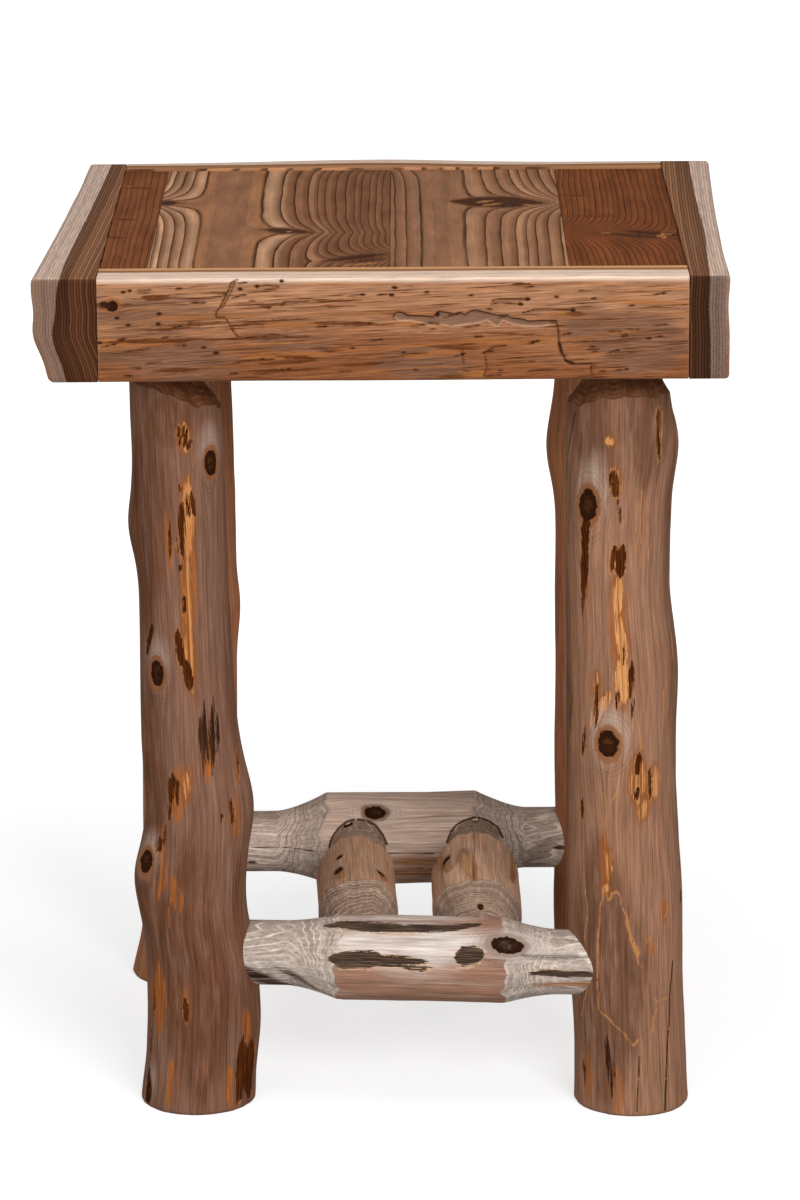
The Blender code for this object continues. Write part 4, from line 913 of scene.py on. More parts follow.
FRONT_STRETCHER_MARKS = Marks(
    bark=((526, 973, 604, 975, 6.0), (322, 926, 420, 928, 7.6), (350, 929, 470, 927, 6.4), (420, 929, 482, 923, 5.6),
          (326, 959, 384, 959, 10.5), (334, 956, 362, 957, 6.0), (345, 962, 430, 962, 5.6), (400, 967, 432, 968, 2.4),
          (454, 958, 484, 955, 10.0), (458, 950, 482, 951, 5.0)),
    tan=((535, 985, 600, 984, 4.0),),
    stain=((240, 966, 288, 986, 16), (275, 966, 318, 990, 5), (524, 956, 604, 957, 3), (248, 976, 300, 990, 8)),
    knots=((507, 945, 7.4, 12.0),),
    # Partly silvered wood and partly painted highlight: these strokes lay the silver band along the upper middle of the
    # stretcher.
    warm=((318, 942, 508, 944, 30), (345, 945, 460, 946, 28), (540, 950, 600, 952, 18), (340, 917, 480, 918, 7)),
    line=((1.3, (335, 933), (400, 934), (440, 936), (474, 931)), (1.3, (338, 967), (365, 969), (400, 968), (424, 967)),
          (1.3, (455, 967), (472, 968), (481, 962), (476, 950))))
REAR_STRETCHER_MARKS = Marks(
    crack=((1.3, (247, 846), (280, 848), (318, 852)), (1.3, (385, 854), (434, 853)), (1.2, (392, 868), (436, 869)),
           # Painted shadow: these two arcs are dark lines on the stretcher round the ends of the rungs, where they meet
           # it.
           (2.2, (329, 849), (331.5, 838), (338.5, 827.5), (347, 821), (356, 818.5), (366, 820), (374.5, 824.5), (381.5, 833),
            (386.5, 846)),
           (2.2, (447.5, 843), (450, 833), (455.5, 826), (465, 820), (477, 817.5), (489, 821), (497, 827), (502, 837))),
    tan=((392, 862, 436, 863, 2.5), (392, 872, 436, 874, 3.0)),
    stain=((247, 862, 256, 863, 6), (553, 847, 568, 848, 5)),
    knots=((375, 812, 5.6, 8.6),),
    # Partly warm wood and partly painted shade: these darker strokes run along the lower half of the stretcher, towards
    # its underside.
    warm=((240, 872, 330, 872, 24), (380, 872, 446, 872, 30), (500, 868, 566, 866, 24)))
LEFT_RUNG_MARKS = Marks(knots=((348, 825, 5.0, 6.5), (339, 872, 3.6, 6.0), (339, 858, 2.6, 4.5), (381, 874, 3.2, 5.5)),
                        tan=((378, 870, 384, 880, 4), (336, 868, 343, 878, 4)))
RIGHT_RUNG_MARKS = Marks(knots=((475, 820, 4.2, 6.5), (446, 861, 4.0, 8.0), (481, 907, 3.0, 4.5)),
                         tan=((462, 850, 474, 880, 8), (442, 855, 450, 870, 5), (505, 850, 512, 880, 4)))
log_skin(front_stretcher, 0.0012, RACK_FINISH, FRONT_STRETCHER_MARKS, 21)
log_skin(rear_stretcher, 0.0014, REAR_RACK_LIFTED_FINISH, REAR_STRETCHER_MARKS, 22)
log_skin(left_rung, 0.0013, LEFT_RUNG_FINISH, LEFT_RUNG_MARKS, 23)
log_skin(right_rung, 0.0013, RIGHT_RUNG_LIFTED_FINISH, RIGHT_RUNG_MARKS, 24)

# %% [markdown]
# ## Boards
# A board is a box whose faces are fine grids, so that its surface can carry marks. The lattice
# below numbers the points of all six faces at once, and points that two faces share are the
# same point, so the box is closed. Rounding its edges is a second step: a point near an edge
# is pulled back onto a small ball inside the corner.

# %% Box lattice


def grid_lines(length, step, ease):
    """Places of lattice lines along an edge: even steps, with close lines on the rounded ends."""
    close = np.array((0.0, 0.3, 0.65)) * ease
    even = np.linspace(ease, length - ease, max(int((length - 2 * ease) / step), 2))
    return np.concatenate((close, even, length - close[::-1]))


def box_lattice(x, y, z):
    """Points and outward quads of a box whose faces are ruled at the places x, y and z."""
    index = np.arange(len(x) * len(y) * len(z)).reshape(len(x), len(y), len(z))
    sides = ((index[0], True), (index[-1], False), (index[:, 0], False), (index[:, -1], True),
             (index[:, :, 0], True), (index[:, :, -1], False))
    faces = []
    for side, turned in sides:
        quad = np.stack((side[:-1, :-1], side[1:, :-1], side[1:, 1:], side[:-1, 1:]), axis=-1).reshape(-1, 4)
        faces.append(quad[:, ::-1] if turned else quad)
    used, faces = np.unique(np.concatenate(faces), return_inverse=True)
    i, j, k = np.unravel_index(used, index.shape)
    return np.stack((x[i], y[j], z[k]), axis=-1), faces.reshape(-1, 4)


def eased(points, low, high, ease):
    """Round the edges of a box: what lies outside a smaller box is scaled back to an ease ellipsoid."""
    inner = np.clip(points, low + ease, high - ease)
    over = (points - inner) / ease
    return inner + ease * over / np.maximum(np.linalg.norm(over, axis=1), 1.0)[:, None]


print("box lattice ready")

# %% [markdown]
# ## The planks of the top
# The planks are sawn close to the middle of the tree, so their rings show as long lines that
# bend round spike knots into pointed arches. A ring is a distance from the pith of the tree:
# the field below is that distance, pushed outwards by a sharp bell at each spike knot. The
# finish draws a dark line once per ring, with paler and darker rings at random.

# %% Plank finish and planks
PLANK_STEP = 0.0016
PLANK_EASE = 0.0004
PLANK_SPECULAR = 0.001
SPIKE_NOSE = 0.003
SPIKE_FADE = 0.03
ORANGE = (0.34, 0.150, 0.060)
Plank = namedtuple("Plank", "node pith pith_depth first power left_gain spikes smears flecks knots bands "
                            "early late dark band aged rim")
Band = namedtuple("Band", "side low high")
Spike = namedtuple("Spike", "root tip pull width")


def plank_finish(plank):
    """Planed wood: ring bands that go from an early to a late tone, a dark line per ring, fibres, smears and knots."""
    finish, paint, shader = new_finish(plank.node + "_finish")
    shader.inputs["Specular IOR Level"].default_value = PLANK_SPECULAR
    grain, ring = paint.field("grain", "Vector"), paint.field("ring")
    fibre = paint.use(FIBRE, Grain=grain, Across=240.0, Along=6.0)
    count = paint.math("ADD", ring, paint.math("MULTIPLY", fibre["Fine"], 0.12))
    rings = paint.use(RINGS, Rings=count, Line=0.20)
    wash = paint.noise(paint.stretch(grain, 60.0, 60.0, 14.0), 1.0, 3.0, 0.6)
    colour = paint.mix(paint.span(paint.field("band"), -0.3, 0.3), plank.early, plank.band)
    colour = paint.mix(paint.math("MULTIPLY", rings["Tone"], 0.5), colour, plank.late)
    colour = paint.mix(paint.span(ring, 2.0, 9.0, 0.0, plank.aged), colour, plank.late)
    turning = paint.math("MULTIPLY", paint.span(rings["Sweep"], 0.05, 0.95), paint.span(ring, 0.9, 1.1, 0.3, 0.85))
    colour = paint.mix(turning, colour, plank.late)
    rim = paint.math("MULTIPLY", paint.span(ring, 0.30, 0.85), paint.span(ring, 1.04, 0.94, 0.0, plank.rim))
    colour = paint.mix(rim, colour, ORANGE)
    colour = paint.mix(paint.math("MULTIPLY", rings["Line"], paint.span(fibre["Broad"], 0.3, 0.6, 0.6, 0.95)), colour, plank.dark)
    finer = paint.use(RINGS, Rings=paint.math("MULTIPLY", count, 4.0), Line=0.5)
    colour = paint.shade(colour, paint.span(finer["Tone"], 0.0, 1.0, 0.90, 1.10))
    colour = paint.shade(colour, paint.span(wash, 0.3, 0.7, 0.84, 1.18))
    colour = paint.shade(colour, paint.span(fibre["Fine"], 0.3, 0.7, 0.92, 1.08))
    colour = paint.shade(colour, paint.span(fibre["Hair"], 0.55, 0.70, 1.0, 0.80))
    smear_field = paint.field("smear")
    smear_field = paint.math("ADD", smear_field, paint.math("MULTIPLY", paint.math("SUBTRACT", fibre["Broad"], 0.5), 9.0))
    colour = paint.mix(paint.span(smear_field, -6.0, 0.0, 0.0, 0.55), colour, plank.late)
    colour = paint.mix(paint.span(smear_field, -2.0, 7.0, 0.0, 0.93), colour, (0.042, 0.015, 0.006))
    fleck = paint.use(RAGGED, Field=paint.field("fleck"), Grain=grain, Fray=2.0, Soft=0.8)["Mask"]
    colour = paint.mix(paint.math("MULTIPLY", fleck, paint.span(fibre["Hair"], 0.3, 0.6, 0.30, 0.9)), colour, (0.38, 0.155, 0.05))
    knots = paint.use(KNOTS, Knot=paint.field("knot"), Grain=grain)
    colour = paint.mix(paint.math("MULTIPLY", knots["Collar"], 0.75), colour, plank.dark)
    colour = paint.mix(knots["Core"], colour, KNOT_CORE)
    paint.tree.links.new(colour, shader.inputs["Base Color"])
    paint.tree.links.new(paint.span(fibre["Fine"], 0.3, 0.7, 0.38, 0.52), shader.inputs["Roughness"])
    height = paint.math("SUBTRACT", paint.math("MULTIPLY", fibre["Hair"], 0.5), paint.math("MULTIPLY", rings["Line"], 0.3))
    bump = paint.node("ShaderNodeBump", {"Height": height, "Strength": 0.35, "Distance": 0.0004})
    paint.tree.links.new(bump, shader.inputs["Normal"])
    return finish


def plank_rings(plank, points, top):
    """Rings from the pith: (distance to the pith / first) to a power. A spike knot holds the rings back
    along its line, by its pull times a pointed arch across it, so that they bend towards its tip."""
    pith = photo_point(*plank.pith, 2, top)
    x, y, z = points.T
    side = (x - pith[0]) * np.where(x < pith[0], plank.left_gain, 1.0)
    distance = np.hypot(side, top - z + plank.pith_depth)
    for spike in plank.spikes:
        root, tip = photo_point(*spike.root, 2, top), photo_point(*spike.tip, 2, top)
        t = np.clip((x - root[0]) / (tip[0] - root[0]), -1, 2)
        away = np.abs(y - (root[1] + t * (tip[1] - root[1])))
        arch = np.exp(-(np.hypot(away, SPIKE_NOSE) - SPIKE_NOSE) / spike.width)
        past = np.maximum(np.sign(tip[0] - root[0]) * (x - tip[0]), 0)
        distance = distance - spike.pull * arch * np.clip(t * 1.5, 0, 1) * np.exp(-past / SPIKE_FADE)
    sway = lattice_noise(np.stack((x * 22, y * 9, z * 0 + 0.5), axis=-1), 31)
    fine = lattice_noise(np.stack((x * 60, y * 30, z * 0 + 0.5), axis=-1), 32)
    distance = np.maximum(distance + 0.0022 * sway + 0.0007 * fine, 0.0002)
    rings = (distance / plank.first) ** plank.power
    uneven = lattice_noise(np.stack((rings * 0.7, rings * 0, rings * 0), axis=-1), 33)
    return rings + 0.25 * uneven


def band_field(plank, points, rings, top):
    """Rings inside the nearest coloured band: a band is the rings from low to high on one side of the pith."""
    pith = photo_point(*plank.pith, 2, top)
    field = np.full(len(points), -FAR)
    for band in plank.bands:
        inside = np.minimum(rings - band.low, band.high - rings)
        field = np.maximum(field, np.where((points[:, 0] - pith[0]) * band.side > 0, inside, -FAR))
    return field


def add_plank(plank):
    """A board in the CAD plank's own box, with its rings, smears and knots."""
    low, high = (np.array(corner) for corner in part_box(plank.node))
    points, faces = box_lattice(*(grid_lines(length, step, PLANK_EASE)
                                  for length, step in zip(high - low, (PLANK_STEP, PLANK_STEP, 0.005))))
    points = eased(points + low, low, high, np.full(3, PLANK_EASE))
    top = high[2]

    def on_top(x, y):
        return photo_point(x, y, 2, top)[:2]

    knots = [Knot(on_top(x, y), wide * MM, long * MM) for x, y, wide, long in plank.knots]
    x, y = points[:, 0], points[:, 1]
    rings = plank_rings(plank, points, top)
    fields = {"grain": np.stack((parted_grain(x, y, knots), points[:, 2], y), axis=-1),
              "ring": rings, "band": band_field(plank, points, rings, top),
              "smear": stroke_field(x, y, sliver_strokes(plank.smears, on_top)),
              "fleck": stroke_field(x, y, sliver_strokes(plank.flecks, on_top)),
              "knot": knot_field(x, y, knots)}
    return add_piece(plank.node, points, faces.tolist(), fields, plank_finish(plank))


PLANKS = (
    Plank("narrow_plank", (66, 220), 0.010, 0.0046, 1.0, 1.0, (),
          ((122, 187, 153, 189, 10), (112, 219, 136, 220, 7), (104, 237, 126, 238, 9)), ((124, 186, 134, 187, 4),), (), (),
          (0.215, 0.074, 0.028), (0.145, 0.046, 0.016), (0.062, 0.018, 0.006), (0.20, 0.075, 0.030), 0.0, 0.0),
    Plank("broad_plank", (225, 225), 0.012, 0.0276, 1.75, 1.35,
          (Spike((235, 231), (308, 232), 0.021, 0.026), Spike((300, 262), (388, 255), 0.026, 0.022),
           Spike((212, 204), (158, 203), 0.040, 0.026), Spike((260, 172), (380, 166), 0.008, 0.022)),
          ((258, 229, 316, 233, 24), (275, 231, 308, 232, 14), (318, 262, 392, 253, 20), (340, 263, 390, 258, 12),
           (154, 203, 180, 203, 26), (158, 204, 172, 203, 16)),
          ((286, 231, 292, 232, 5), (150, 203, 158, 203, 4), (340, 266, 386, 262, 4)), (),
          (Band(-1, 0.98, 20), Band(1, 0.98, 2.1)),
          (0.340, 0.164, 0.086), (0.140, 0.054, 0.023), (0.040, 0.013, 0.005), (0.58, 0.330, 0.190), 0.6, 0.6),
    Plank("middle_plank", (440, 225), 0.012, 0.022, 1.47, 1.3,
          (Spike((455, 202), (545, 202), 0.044, 0.021), Spike((430, 168), (405, 168), 0.012, 0.020)),
          ((446, 201, 548, 203, 50), (455, 201, 540, 204, 30), (404, 168, 452, 168, 18)),
          ((476, 203, 494, 200, 8), (480, 206, 502, 203, 8), (522, 204, 536, 206, 5), (412, 168, 440, 169, 5)), (),
          (Band(1, 1.0, 40),),
          (0.325, 0.160, 0.087), (0.165, 0.070, 0.032), (0.046, 0.016, 0.006), (0.42, 0.215, 0.117), 0.0, 0.0),
    Plank("right_plank", (722, 225), 0.015, 0.0044, 1.0, 1.0,
          (Spike((690, 238), (588, 232), 0.034, 0.022),),
          ((586, 232, 694, 240, 13), (620, 230, 690, 237, 18), (560, 195, 590, 196, 7), (566, 216, 625, 216, 6)),
          ((660, 234, 664, 239, 7), (662, 233, 672, 235, 4), (600, 233, 612, 233, 3)), (), (),
          (0.205, 0.061, 0.019), (0.125, 0.038, 0.012), (0.046, 0.013, 0.004), (0.18, 0.07, 0.03), 0.0, 0.0),
)
for plank in PLANKS:
    add_plank(plank)

# %% [markdown]
# ## The slab rails
# Each rail is a slab sawn from the edge of a log: pale sapwood on the outside, dark heartwood
# inside, with fine ring lines between. Its outer face is the natural skin of the log, which
# beetles have marked with short dark slots. The front one also has a worm track, cracks and a
# knot. The slots and the track are sunk into the mesh, so that they catch the light.

# %% Slab finish
SLAB_RING_MM = 2.1
LEFT_END_TINT, RIGHT_END_TINT = (0.42, 0.345, 0.315), (0.325, 0.290, 0.290)
SLAB_SPECULAR = 0.0015
# The bed colour of the worm track, and a painted highlight for its lower lip.
TRACK_BED, TRACK_LIP_HIGHLIGHT = (0.175, 0.095, 0.058), (0.50, 0.31, 0.20)
SlabTones = namedtuple("SlabTones", "high low weathered orange rust sap heart edge_dark")


def slab_finish(name, tones, end_tint=LEFT_END_TINT):
    """Slab wood: the skin colours on the live face, and below it sapwood and heartwood by depth."""
    finish, paint, shader = new_finish(name)
    shader.inputs["Specular IOR Level"].default_value = SLAB_SPECULAR
    grain, depth = paint.field("grain", "Vector"), paint.field("depth")
    fibre = paint.use(FIBRE, Grain=grain, Across=230.0, Along=7.0)
    wash = paint.noise(paint.stretch(grain, 70.0, 70.0, 6.0), 1.0, 4.0, 0.62)
    rise = paint.math("ADD", paint.field("rise"), paint.math("MULTIPLY", paint.math("SUBTRACT", wash, 0.5), 1.6))
    skin = paint.mix(paint.span(rise, 0.1, 0.95), tones.low, tones.high)
    worn = paint.math("ADD", paint.field("warm"), paint.math("MULTIPLY", paint.math("SUBTRACT", fibre["Broad"], 0.5), 40.0))
    skin = paint.mix(paint.span(worn, -8.0, 4.0, 0.0, 0.9), skin, tones.weathered)
    bands = paint.noise(paint.stretch(grain, 460.0, 460.0, 11.0), 1.0, 4.0, 0.65)
    skin = paint.mix(paint.span(bands, 0.57, 0.65, 0.0, 0.7), skin, tones.orange)
    streaks = paint.noise(paint.stretch(grain, 900.0, 900.0, 21.0), 1.0, 3.0, 0.6)
    gather = paint.noise(paint.stretch(grain, 90.0, 90.0, 11.0), 1.0, 2.0, 0.5)
    streaks = paint.math("ADD", streaks, paint.math("MULTIPLY", paint.math("SUBTRACT", gather, 0.5), 0.35))
    skin = paint.mix(paint.span(streaks, 0.58, 0.65, 0.0, 0.92), skin, tones.rust)
    skin = paint.shade(skin, paint.span(fibre["Fine"], 0.28, 0.72, 0.74, 1.26))
    skin = paint.shade(skin, paint.span(fibre["Hair"], 0.34, 0.66, 0.80, 1.17))

    count = paint.math("ADD", paint.math("DIVIDE", depth, SLAB_RING_MM), paint.math("MULTIPLY", fibre["Broad"], 0.6))
    rings = paint.use(RINGS, Rings=count, Line=0.42)
    sap_field = paint.field("sap")
    inner = paint.mix(paint.span(sap_field, -14.0, 0.0, 0.0, 0.8), tones.heart, tones.edge_dark)
    inner = paint.shade(inner, paint.span(rings["Line"], 0.0, 1.0, 1.35, 0.45))
    inner = paint.shade(inner, paint.span(rings["Tone"], 0.0, 1.0, 0.72, 1.28))
    outer = paint.shade(tones.sap, paint.span(rings["Line"], 0.0, 1.0, 1.12, 0.66))
    outer = paint.shade(outer, paint.span(rings["Tone"], 0.0, 1.0, 0.90, 1.10))
    outer = paint.shade(outer, paint.span(fibre["Fine"], 0.35, 0.7, 1.05, 0.80))
    pale = paint.use(RAGGED, Field=sap_field, Grain=grain, Fray=0.4, Soft=0.5)["Mask"]
    sawn = paint.mix(pale, inner, outer)
    sawn = paint.shade(sawn, paint.span(fibre["Hair"], 0.56, 0.70, 1.0, 0.78))
    sawn = paint.mix(paint.span(paint.field("end"), 0.2, 0.9), sawn, end_tint, "MULTIPLY")
    skinned = paint.use(RAGGED, Field=paint.field("skin"), Grain=grain, Fray=0.4, Soft=2.0)["Mask"]
    colour = paint.mix(skinned, sawn, skin)

    tan = paint.use(RAGGED, Field=paint.field("tan"), Grain=grain, Fray=1.8, Soft=1.0)["Mask"]
    colour = paint.mix(paint.math("MULTIPLY", tan, paint.span(fibre["Fine"], 0.35, 0.6, 0.3, 0.9)), colour, tones.orange)
    stain = paint.use(RAGGED, Field=paint.field("stain"), Grain=grain, Fray=1.2, Soft=0.6)["Mask"]
    colour = paint.mix(paint.math("MULTIPLY", stain, paint.span(fibre["Fine"], 0.3, 0.6, 0.5, 0.98)), colour, tones.rust)
    track, below_rim = paint.field("track"), paint.field("track_rim")
    # Painted highlight: a pale lip along the lower edge of the worm track, where it faces the light.
    lip_highlight = paint.use(RAGGED, Field=paint.math("ADD", track, 1.1), Grain=grain, Fray=0.9, Soft=0.5)["Mask"]
    colour = paint.mix(paint.math("MULTIPLY", lip_highlight, paint.span(below_rim, 2.0, 3.6, 0.0, 0.45)), colour, TRACK_LIP_HIGHLIGHT)
    bed = paint.use(RAGGED, Field=track, Grain=grain, Fray=0.3, Soft=0.2)["Mask"]
    colour = paint.mix(paint.math("MULTIPLY", bed, paint.span(fibre["Hair"], 0.35, 0.6, 0.6, 0.95)), colour, TRACK_BED)
    # Painted shadow: the bed of the worm track is darkened along its upper side, under its upper edge.
    colour = paint.mix(paint.math("MULTIPLY", bed, paint.span(below_rim, 1.6, 0.5, 0.0, 0.9)), colour, SOOT_AND_SHADOW)
    knots = paint.use(KNOTS, Knot=paint.field("knot"), Grain=grain)
    colour = paint.mix(paint.math("MULTIPLY", knots["Collar"], 0.75), colour, KNOT_COLLAR)
    colour = paint.mix(knots["Core"], colour, KNOT_CORE)
    bark_field = paint.field("bark")
    rim = paint.use(RAGGED, Field=paint.math("ADD", bark_field, 0.5), Grain=grain, Fray=0.3, Soft=0.35)["Mask"]
    slots = paint.use(RAGGED, Field=paint.math("SUBTRACT", bark_field, 0.15), Grain=grain, Fray=0.12, Soft=0.2)["Mask"]
    colour = paint.mix(paint.math("MULTIPLY", rim, 0.5), colour, tones.rust)
    colour = paint.mix(paint.math("MULTIPLY", slots, 0.92), colour, (0.030, 0.012, 0.007))
    paint.tree.links.new(colour, shader.inputs["Base Color"])
    paint.tree.links.new(paint.span(fibre["Fine"], 0.3, 0.7, 0.42, 0.58), shader.inputs["Roughness"])
    height = paint.math("ADD", paint.math("MULTIPLY", fibre["Fine"], 0.5), paint.math("MULTIPLY", fibre["Hair"], 0.25))
    bump = paint.node("ShaderNodeBump", {"Height": height, "Strength": 0.5, "Distance": 0.0005})
    paint.tree.links.new(bump, shader.inputs["Normal"])
    return finish


# The front slab's sap tone is paler than the sides': partly pale sapwood and partly a painted highlight along the
# rounded top arris.
FRONT_FINISH = slab_finish("front_slab", SlabTones(
    (0.385, 0.188, 0.099), (0.228, 0.083, 0.034), (0.190, 0.092, 0.054), (0.36, 0.132, 0.038), (0.100, 0.029, 0.008),
    (0.66, 0.49, 0.38), (0.48, 0.245, 0.115), (0.14, 0.058, 0.024)))
REAR_FINISH = slab_finish("rear_slab", SlabTones(
    (0.385, 0.188, 0.099), (0.235, 0.088, 0.037), (0.205, 0.099, 0.058), (0.38, 0.150, 0.048), (0.110, 0.033, 0.009),
    (0.62, 0.46, 0.36), (0.31, 0.150, 0.072), (0.14, 0.058, 0.024)))
SIDE_TONES = SlabTones(
    (0.36, 0.215, 0.140), (0.28, 0.130, 0.066), (0.26, 0.145, 0.092), (0.36, 0.150, 0.055), (0.13, 0.042, 0.013),
    (0.50, 0.360, 0.285), (0.172, 0.079, 0.039), (0.082, 0.036, 0.018))
LEFT_FINISH = slab_finish("left_slab", SIDE_TONES)
RIGHT_FINISH = slab_finish("right_slab", SIDE_TONES, RIGHT_END_TINT)
print("slab finishes:", FRONT_FINISH.name, REAR_FINISH.name, LEFT_FINISH.name, RIGHT_FINISH.name)

# %% [markdown]
# ## From a slab to its rail
# A rail is a box lattice whose outer side is pushed to the slab's own thickness, which changes
# along the rail and on the left one also down it. Its own first axis runs along it, its second
# points outwards, and its top is at zero. The depth below the live edge and the border between
# sapwood and heartwood are stored for the finish.

# %% Rail builder
GRAIN_SLANT = 0.045
Rail = namedtuple("Rail", "node corner heading outward thickness sap_border step ease end_ease brow finish")


def no_track(along, rise):
    """A face without a worm track: far outside it everywhere."""
    return np.full_like(along, -FAR), np.full_like(along, FAR)


def rail_surface(rail, marks, worm_track=no_track):
    """A slab: the box lattice with its second share times the thickness, eased, then sunk at the marks."""
    low, high = (np.array(corner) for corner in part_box(rail.node))
    length = abs(rail.heading @ (high - low))
    height = high[2] - low[2]
    x, y, z = (grid_lines(size, step, ease) for size, step, ease in
               ((length, rail.step[0], rail.end_ease), (1.0, rail.step[1], 0.08), (height, rail.step[2], rail.ease)))
    shares, faces = box_lattice(x, y, z - height)
    along, drop = shares[:, 0], -shares[:, 2]
    thick = rail.thickness(along / length, drop)
    points = np.stack((along, shares[:, 1] * thick, shares[:, 2]), axis=-1)
    ease = np.array((rail.end_ease, rail.ease, rail.ease))
    edge = np.stack((np.full_like(thick, length), thick, np.zeros_like(thick)), axis=-1)
    points = eased(points, np.array((0, -rail.ease, -height)), edge, ease)
    depth = (thick - points[:, 1]) / MM
    live = depth < 2.6

    bark = np.where(live, stroke_field(points[:, 2], along, marks.bark), -FAR)
    tan = np.where(live, stroke_field(points[:, 2], along, marks.tan), -FAR)
    stain = np.where(live, stroke_field(points[:, 2], along, marks.stain), -FAR)
    warm = np.where(live, np.clip(stroke_field(points[:, 2], along, marks.warm), -12, 12), -12)
    knot = np.where(live, knot_field(points[:, 2], along, marks.knots), FAR)
    track, track_rim = worm_track(along, points[:, 2])
    track = np.where(live, track, -FAR)
    wave = lattice_noise(np.stack((along * 14, drop * 45, along * 0), axis=-1), 41)
    grit = lattice_noise(np.stack((along * 160, drop * 260, along * 0), axis=-1), 42)
    dent = 0.35 * wave - 0.9 * np.clip(bark + 0.2, 0, 0.9) - 0.6 * np.clip(1.1 - knot, 0, 0.6)
    dent = dent - 1.5 * np.clip(track + 0.3, 0, 0.9) * (1 + 0.35 * grit)
    fade = np.clip(np.minimum(along, length - along) / 0.004, 0, 1) * live
    points[:, 1] += dent * fade * MM

    upward = np.array((0.0, 0.0, 1.0))
    placed = points @ np.stack((rail.heading, rail.outward, upward)) + rail.corner
    across = parted_grain(points[:, 2], along, marks.knots) + GRAIN_SLANT * along
    from_end = np.minimum(points[:, 0], length - points[:, 0])
    end = np.clip(1 - from_end / rail.end_ease, 0, 1)
    # The brow keeps the sawn colour a few millimetres down the face under the top arris; on the front rail that pale
    # band is partly a painted highlight.
    skin = np.minimum(2.6 - depth, np.minimum(-points[:, 2] - rail.brow, from_end - 0.6 * rail.end_ease + MM) / MM)
    fields = {"grain": np.stack((across, points[:, 1], along), axis=-1), "depth": depth,
              "sap": rail.sap_border(along / length, drop) - depth, "end": end, "skin": skin,
              "bark": bark, "tan": tan, "stain": stain, "knot": knot, "warm": warm,
              "rise": 1 + points[:, 2] / height, "track": track, "track_rim": track_rim}
    return add_piece(rail.node, placed, faces.tolist(), fields, rail.finish)


def beetle_slots(seed, count, length, height):
    """Seeded slots on a live face, a few degrees off level: a round hole with a thin tail."""
    draw = np.random.default_rng(seed)
    slots = []
    for _ in range(count):
        z, x = -height * draw.uniform(0.10, 0.95), draw.uniform(0.012, length - 0.012)
        size, lean = draw.uniform(-0.002, 0.011), draw.uniform(-0.35, 0.15)
        slots.append(Stroke((z, x), (z + lean * size, x + size), draw.uniform(0.0009, 0.0013)))
        slots.append(Stroke((z, x - 0.0024), (z + lean * 0.002, x + 0.0024), draw.uniform(0.0011, 0.0018)))
    return slots


print("rail builder ready")

# %% [markdown]
# ## The front rail
# It faces the camera, so its marks are looked up on its face by their pixels. The worm track is
# a shallow channel that wanders along the middle; its darker upper side is painted shadow under
# its upper edge, and its pale lower lip a painted highlight. The cracks are thin lines that follow it down.

# %% Front rail
RAIL_HEIGHT = 0.0765
FRONT_RAIL_THICKNESS = 0.0345
FRONT_RAIL_HOLLOW = 0.0012
FRONT_SAP = 0.0195
INNER_LEFT, INNER_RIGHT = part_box("left_rail")[1].x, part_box("right_rail")[0].x
FRONT_INNER, REAR_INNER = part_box("front_rail")[1].y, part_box("rear_rail")[0].y
SIDE_FRONT, SIDE_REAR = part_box("left_rail")[0].y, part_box("left_rail")[1].y
RAIL_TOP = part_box("front_rail")[1].z
FRONT_CORNER = np.array((INNER_RIGHT - CLEARANCE, FRONT_INNER, RAIL_TOP))
FRONT_FACE = FRONT_INNER - FRONT_RAIL_THICKNESS
TRACK_TOP = ((393, 316), (396, 311.5), (402, 312), (407, 315), (423, 315.5), (433, 316.5), (439, 311), (447, 312),
             (455, 314.5), (460, 312), (465, 314.5), (471, 310.5), (477, 310), (487, 312.5), (497, 315), (507, 315),
             (512, 318), (522, 319), (528, 321), (540, 320.5), (556, 320.5))
TRACK_BOTTOM = ((393, 316.5), (402, 320), (410, 319.5), (422, 322), (430, 325), (440, 323.5), (452, 326), (467, 323.5),
                (480, 322), (487, 319.5), (497, 326), (503, 320), (513, 323.5), (525, 326), (540, 326), (556, 323))
CRACKS = (
    (1.1, (238, 280), (231, 283), (229, 290), (224, 299), (220, 308), (216, 312), (216, 318), (225, 318), (231, 327),
     (234, 333), (239, 338)),
    (0.9, (235, 282), (231, 292), (226, 301), (222, 309)),
    (1.3, (556, 321), (559, 334), (559, 344), (562, 353), (566, 362), (572, 364.5), (594, 364)),
    (2.2, (559, 343), (562, 354)), (2.0, (565, 361), (574, 364)), (1.0, (591, 366), (592, 377)),
    (0.8, (462, 350), (464, 365)), (0.8, (462, 370), (470, 372)), (0.9, (485, 356), (487, 366), (484, 377)),
    (0.9, (237, 284), (247, 282.7)), (0.9, (256, 287), (269, 285.5), (280, 287.5)), (0.9, (264, 290.5), (277, 289)),
    (1.0, (281, 306), (284, 302), (309, 302)), (0.9, (155, 298), (195, 298.5), (222, 297)),
    (1.0, (232, 326), (252, 324), (264, 325)), (1.0, (245, 338.5), (262, 337), (275, 335), (292, 337.5), (309, 337)),
    (0.9, (124, 352), (150, 348.5)), (0.8, (145, 364), (162, 362.5)), (0.9, (232, 364), (252, 361), (274, 360)),
    (1.1, (492, 301), (500, 299.5), (528, 299.5)), (1.0, (490, 304.5), (500, 303), (521, 304.5)),
    (1.1, (522, 313.5), (535, 310), (548, 309.5), (573, 310.5)), (0.9, (463, 328), (480, 325.5)),
    (1.0, (482, 354), (495, 347), (507, 346)), (0.9, (401, 354.5), (428, 353)), (0.9, (528, 371.5), (557, 370)),
    (0.9, (587, 350), (600, 349)), (0.9, (202, 340.5), (237, 339.5)), (0.8, (137, 290), (150, 290)))
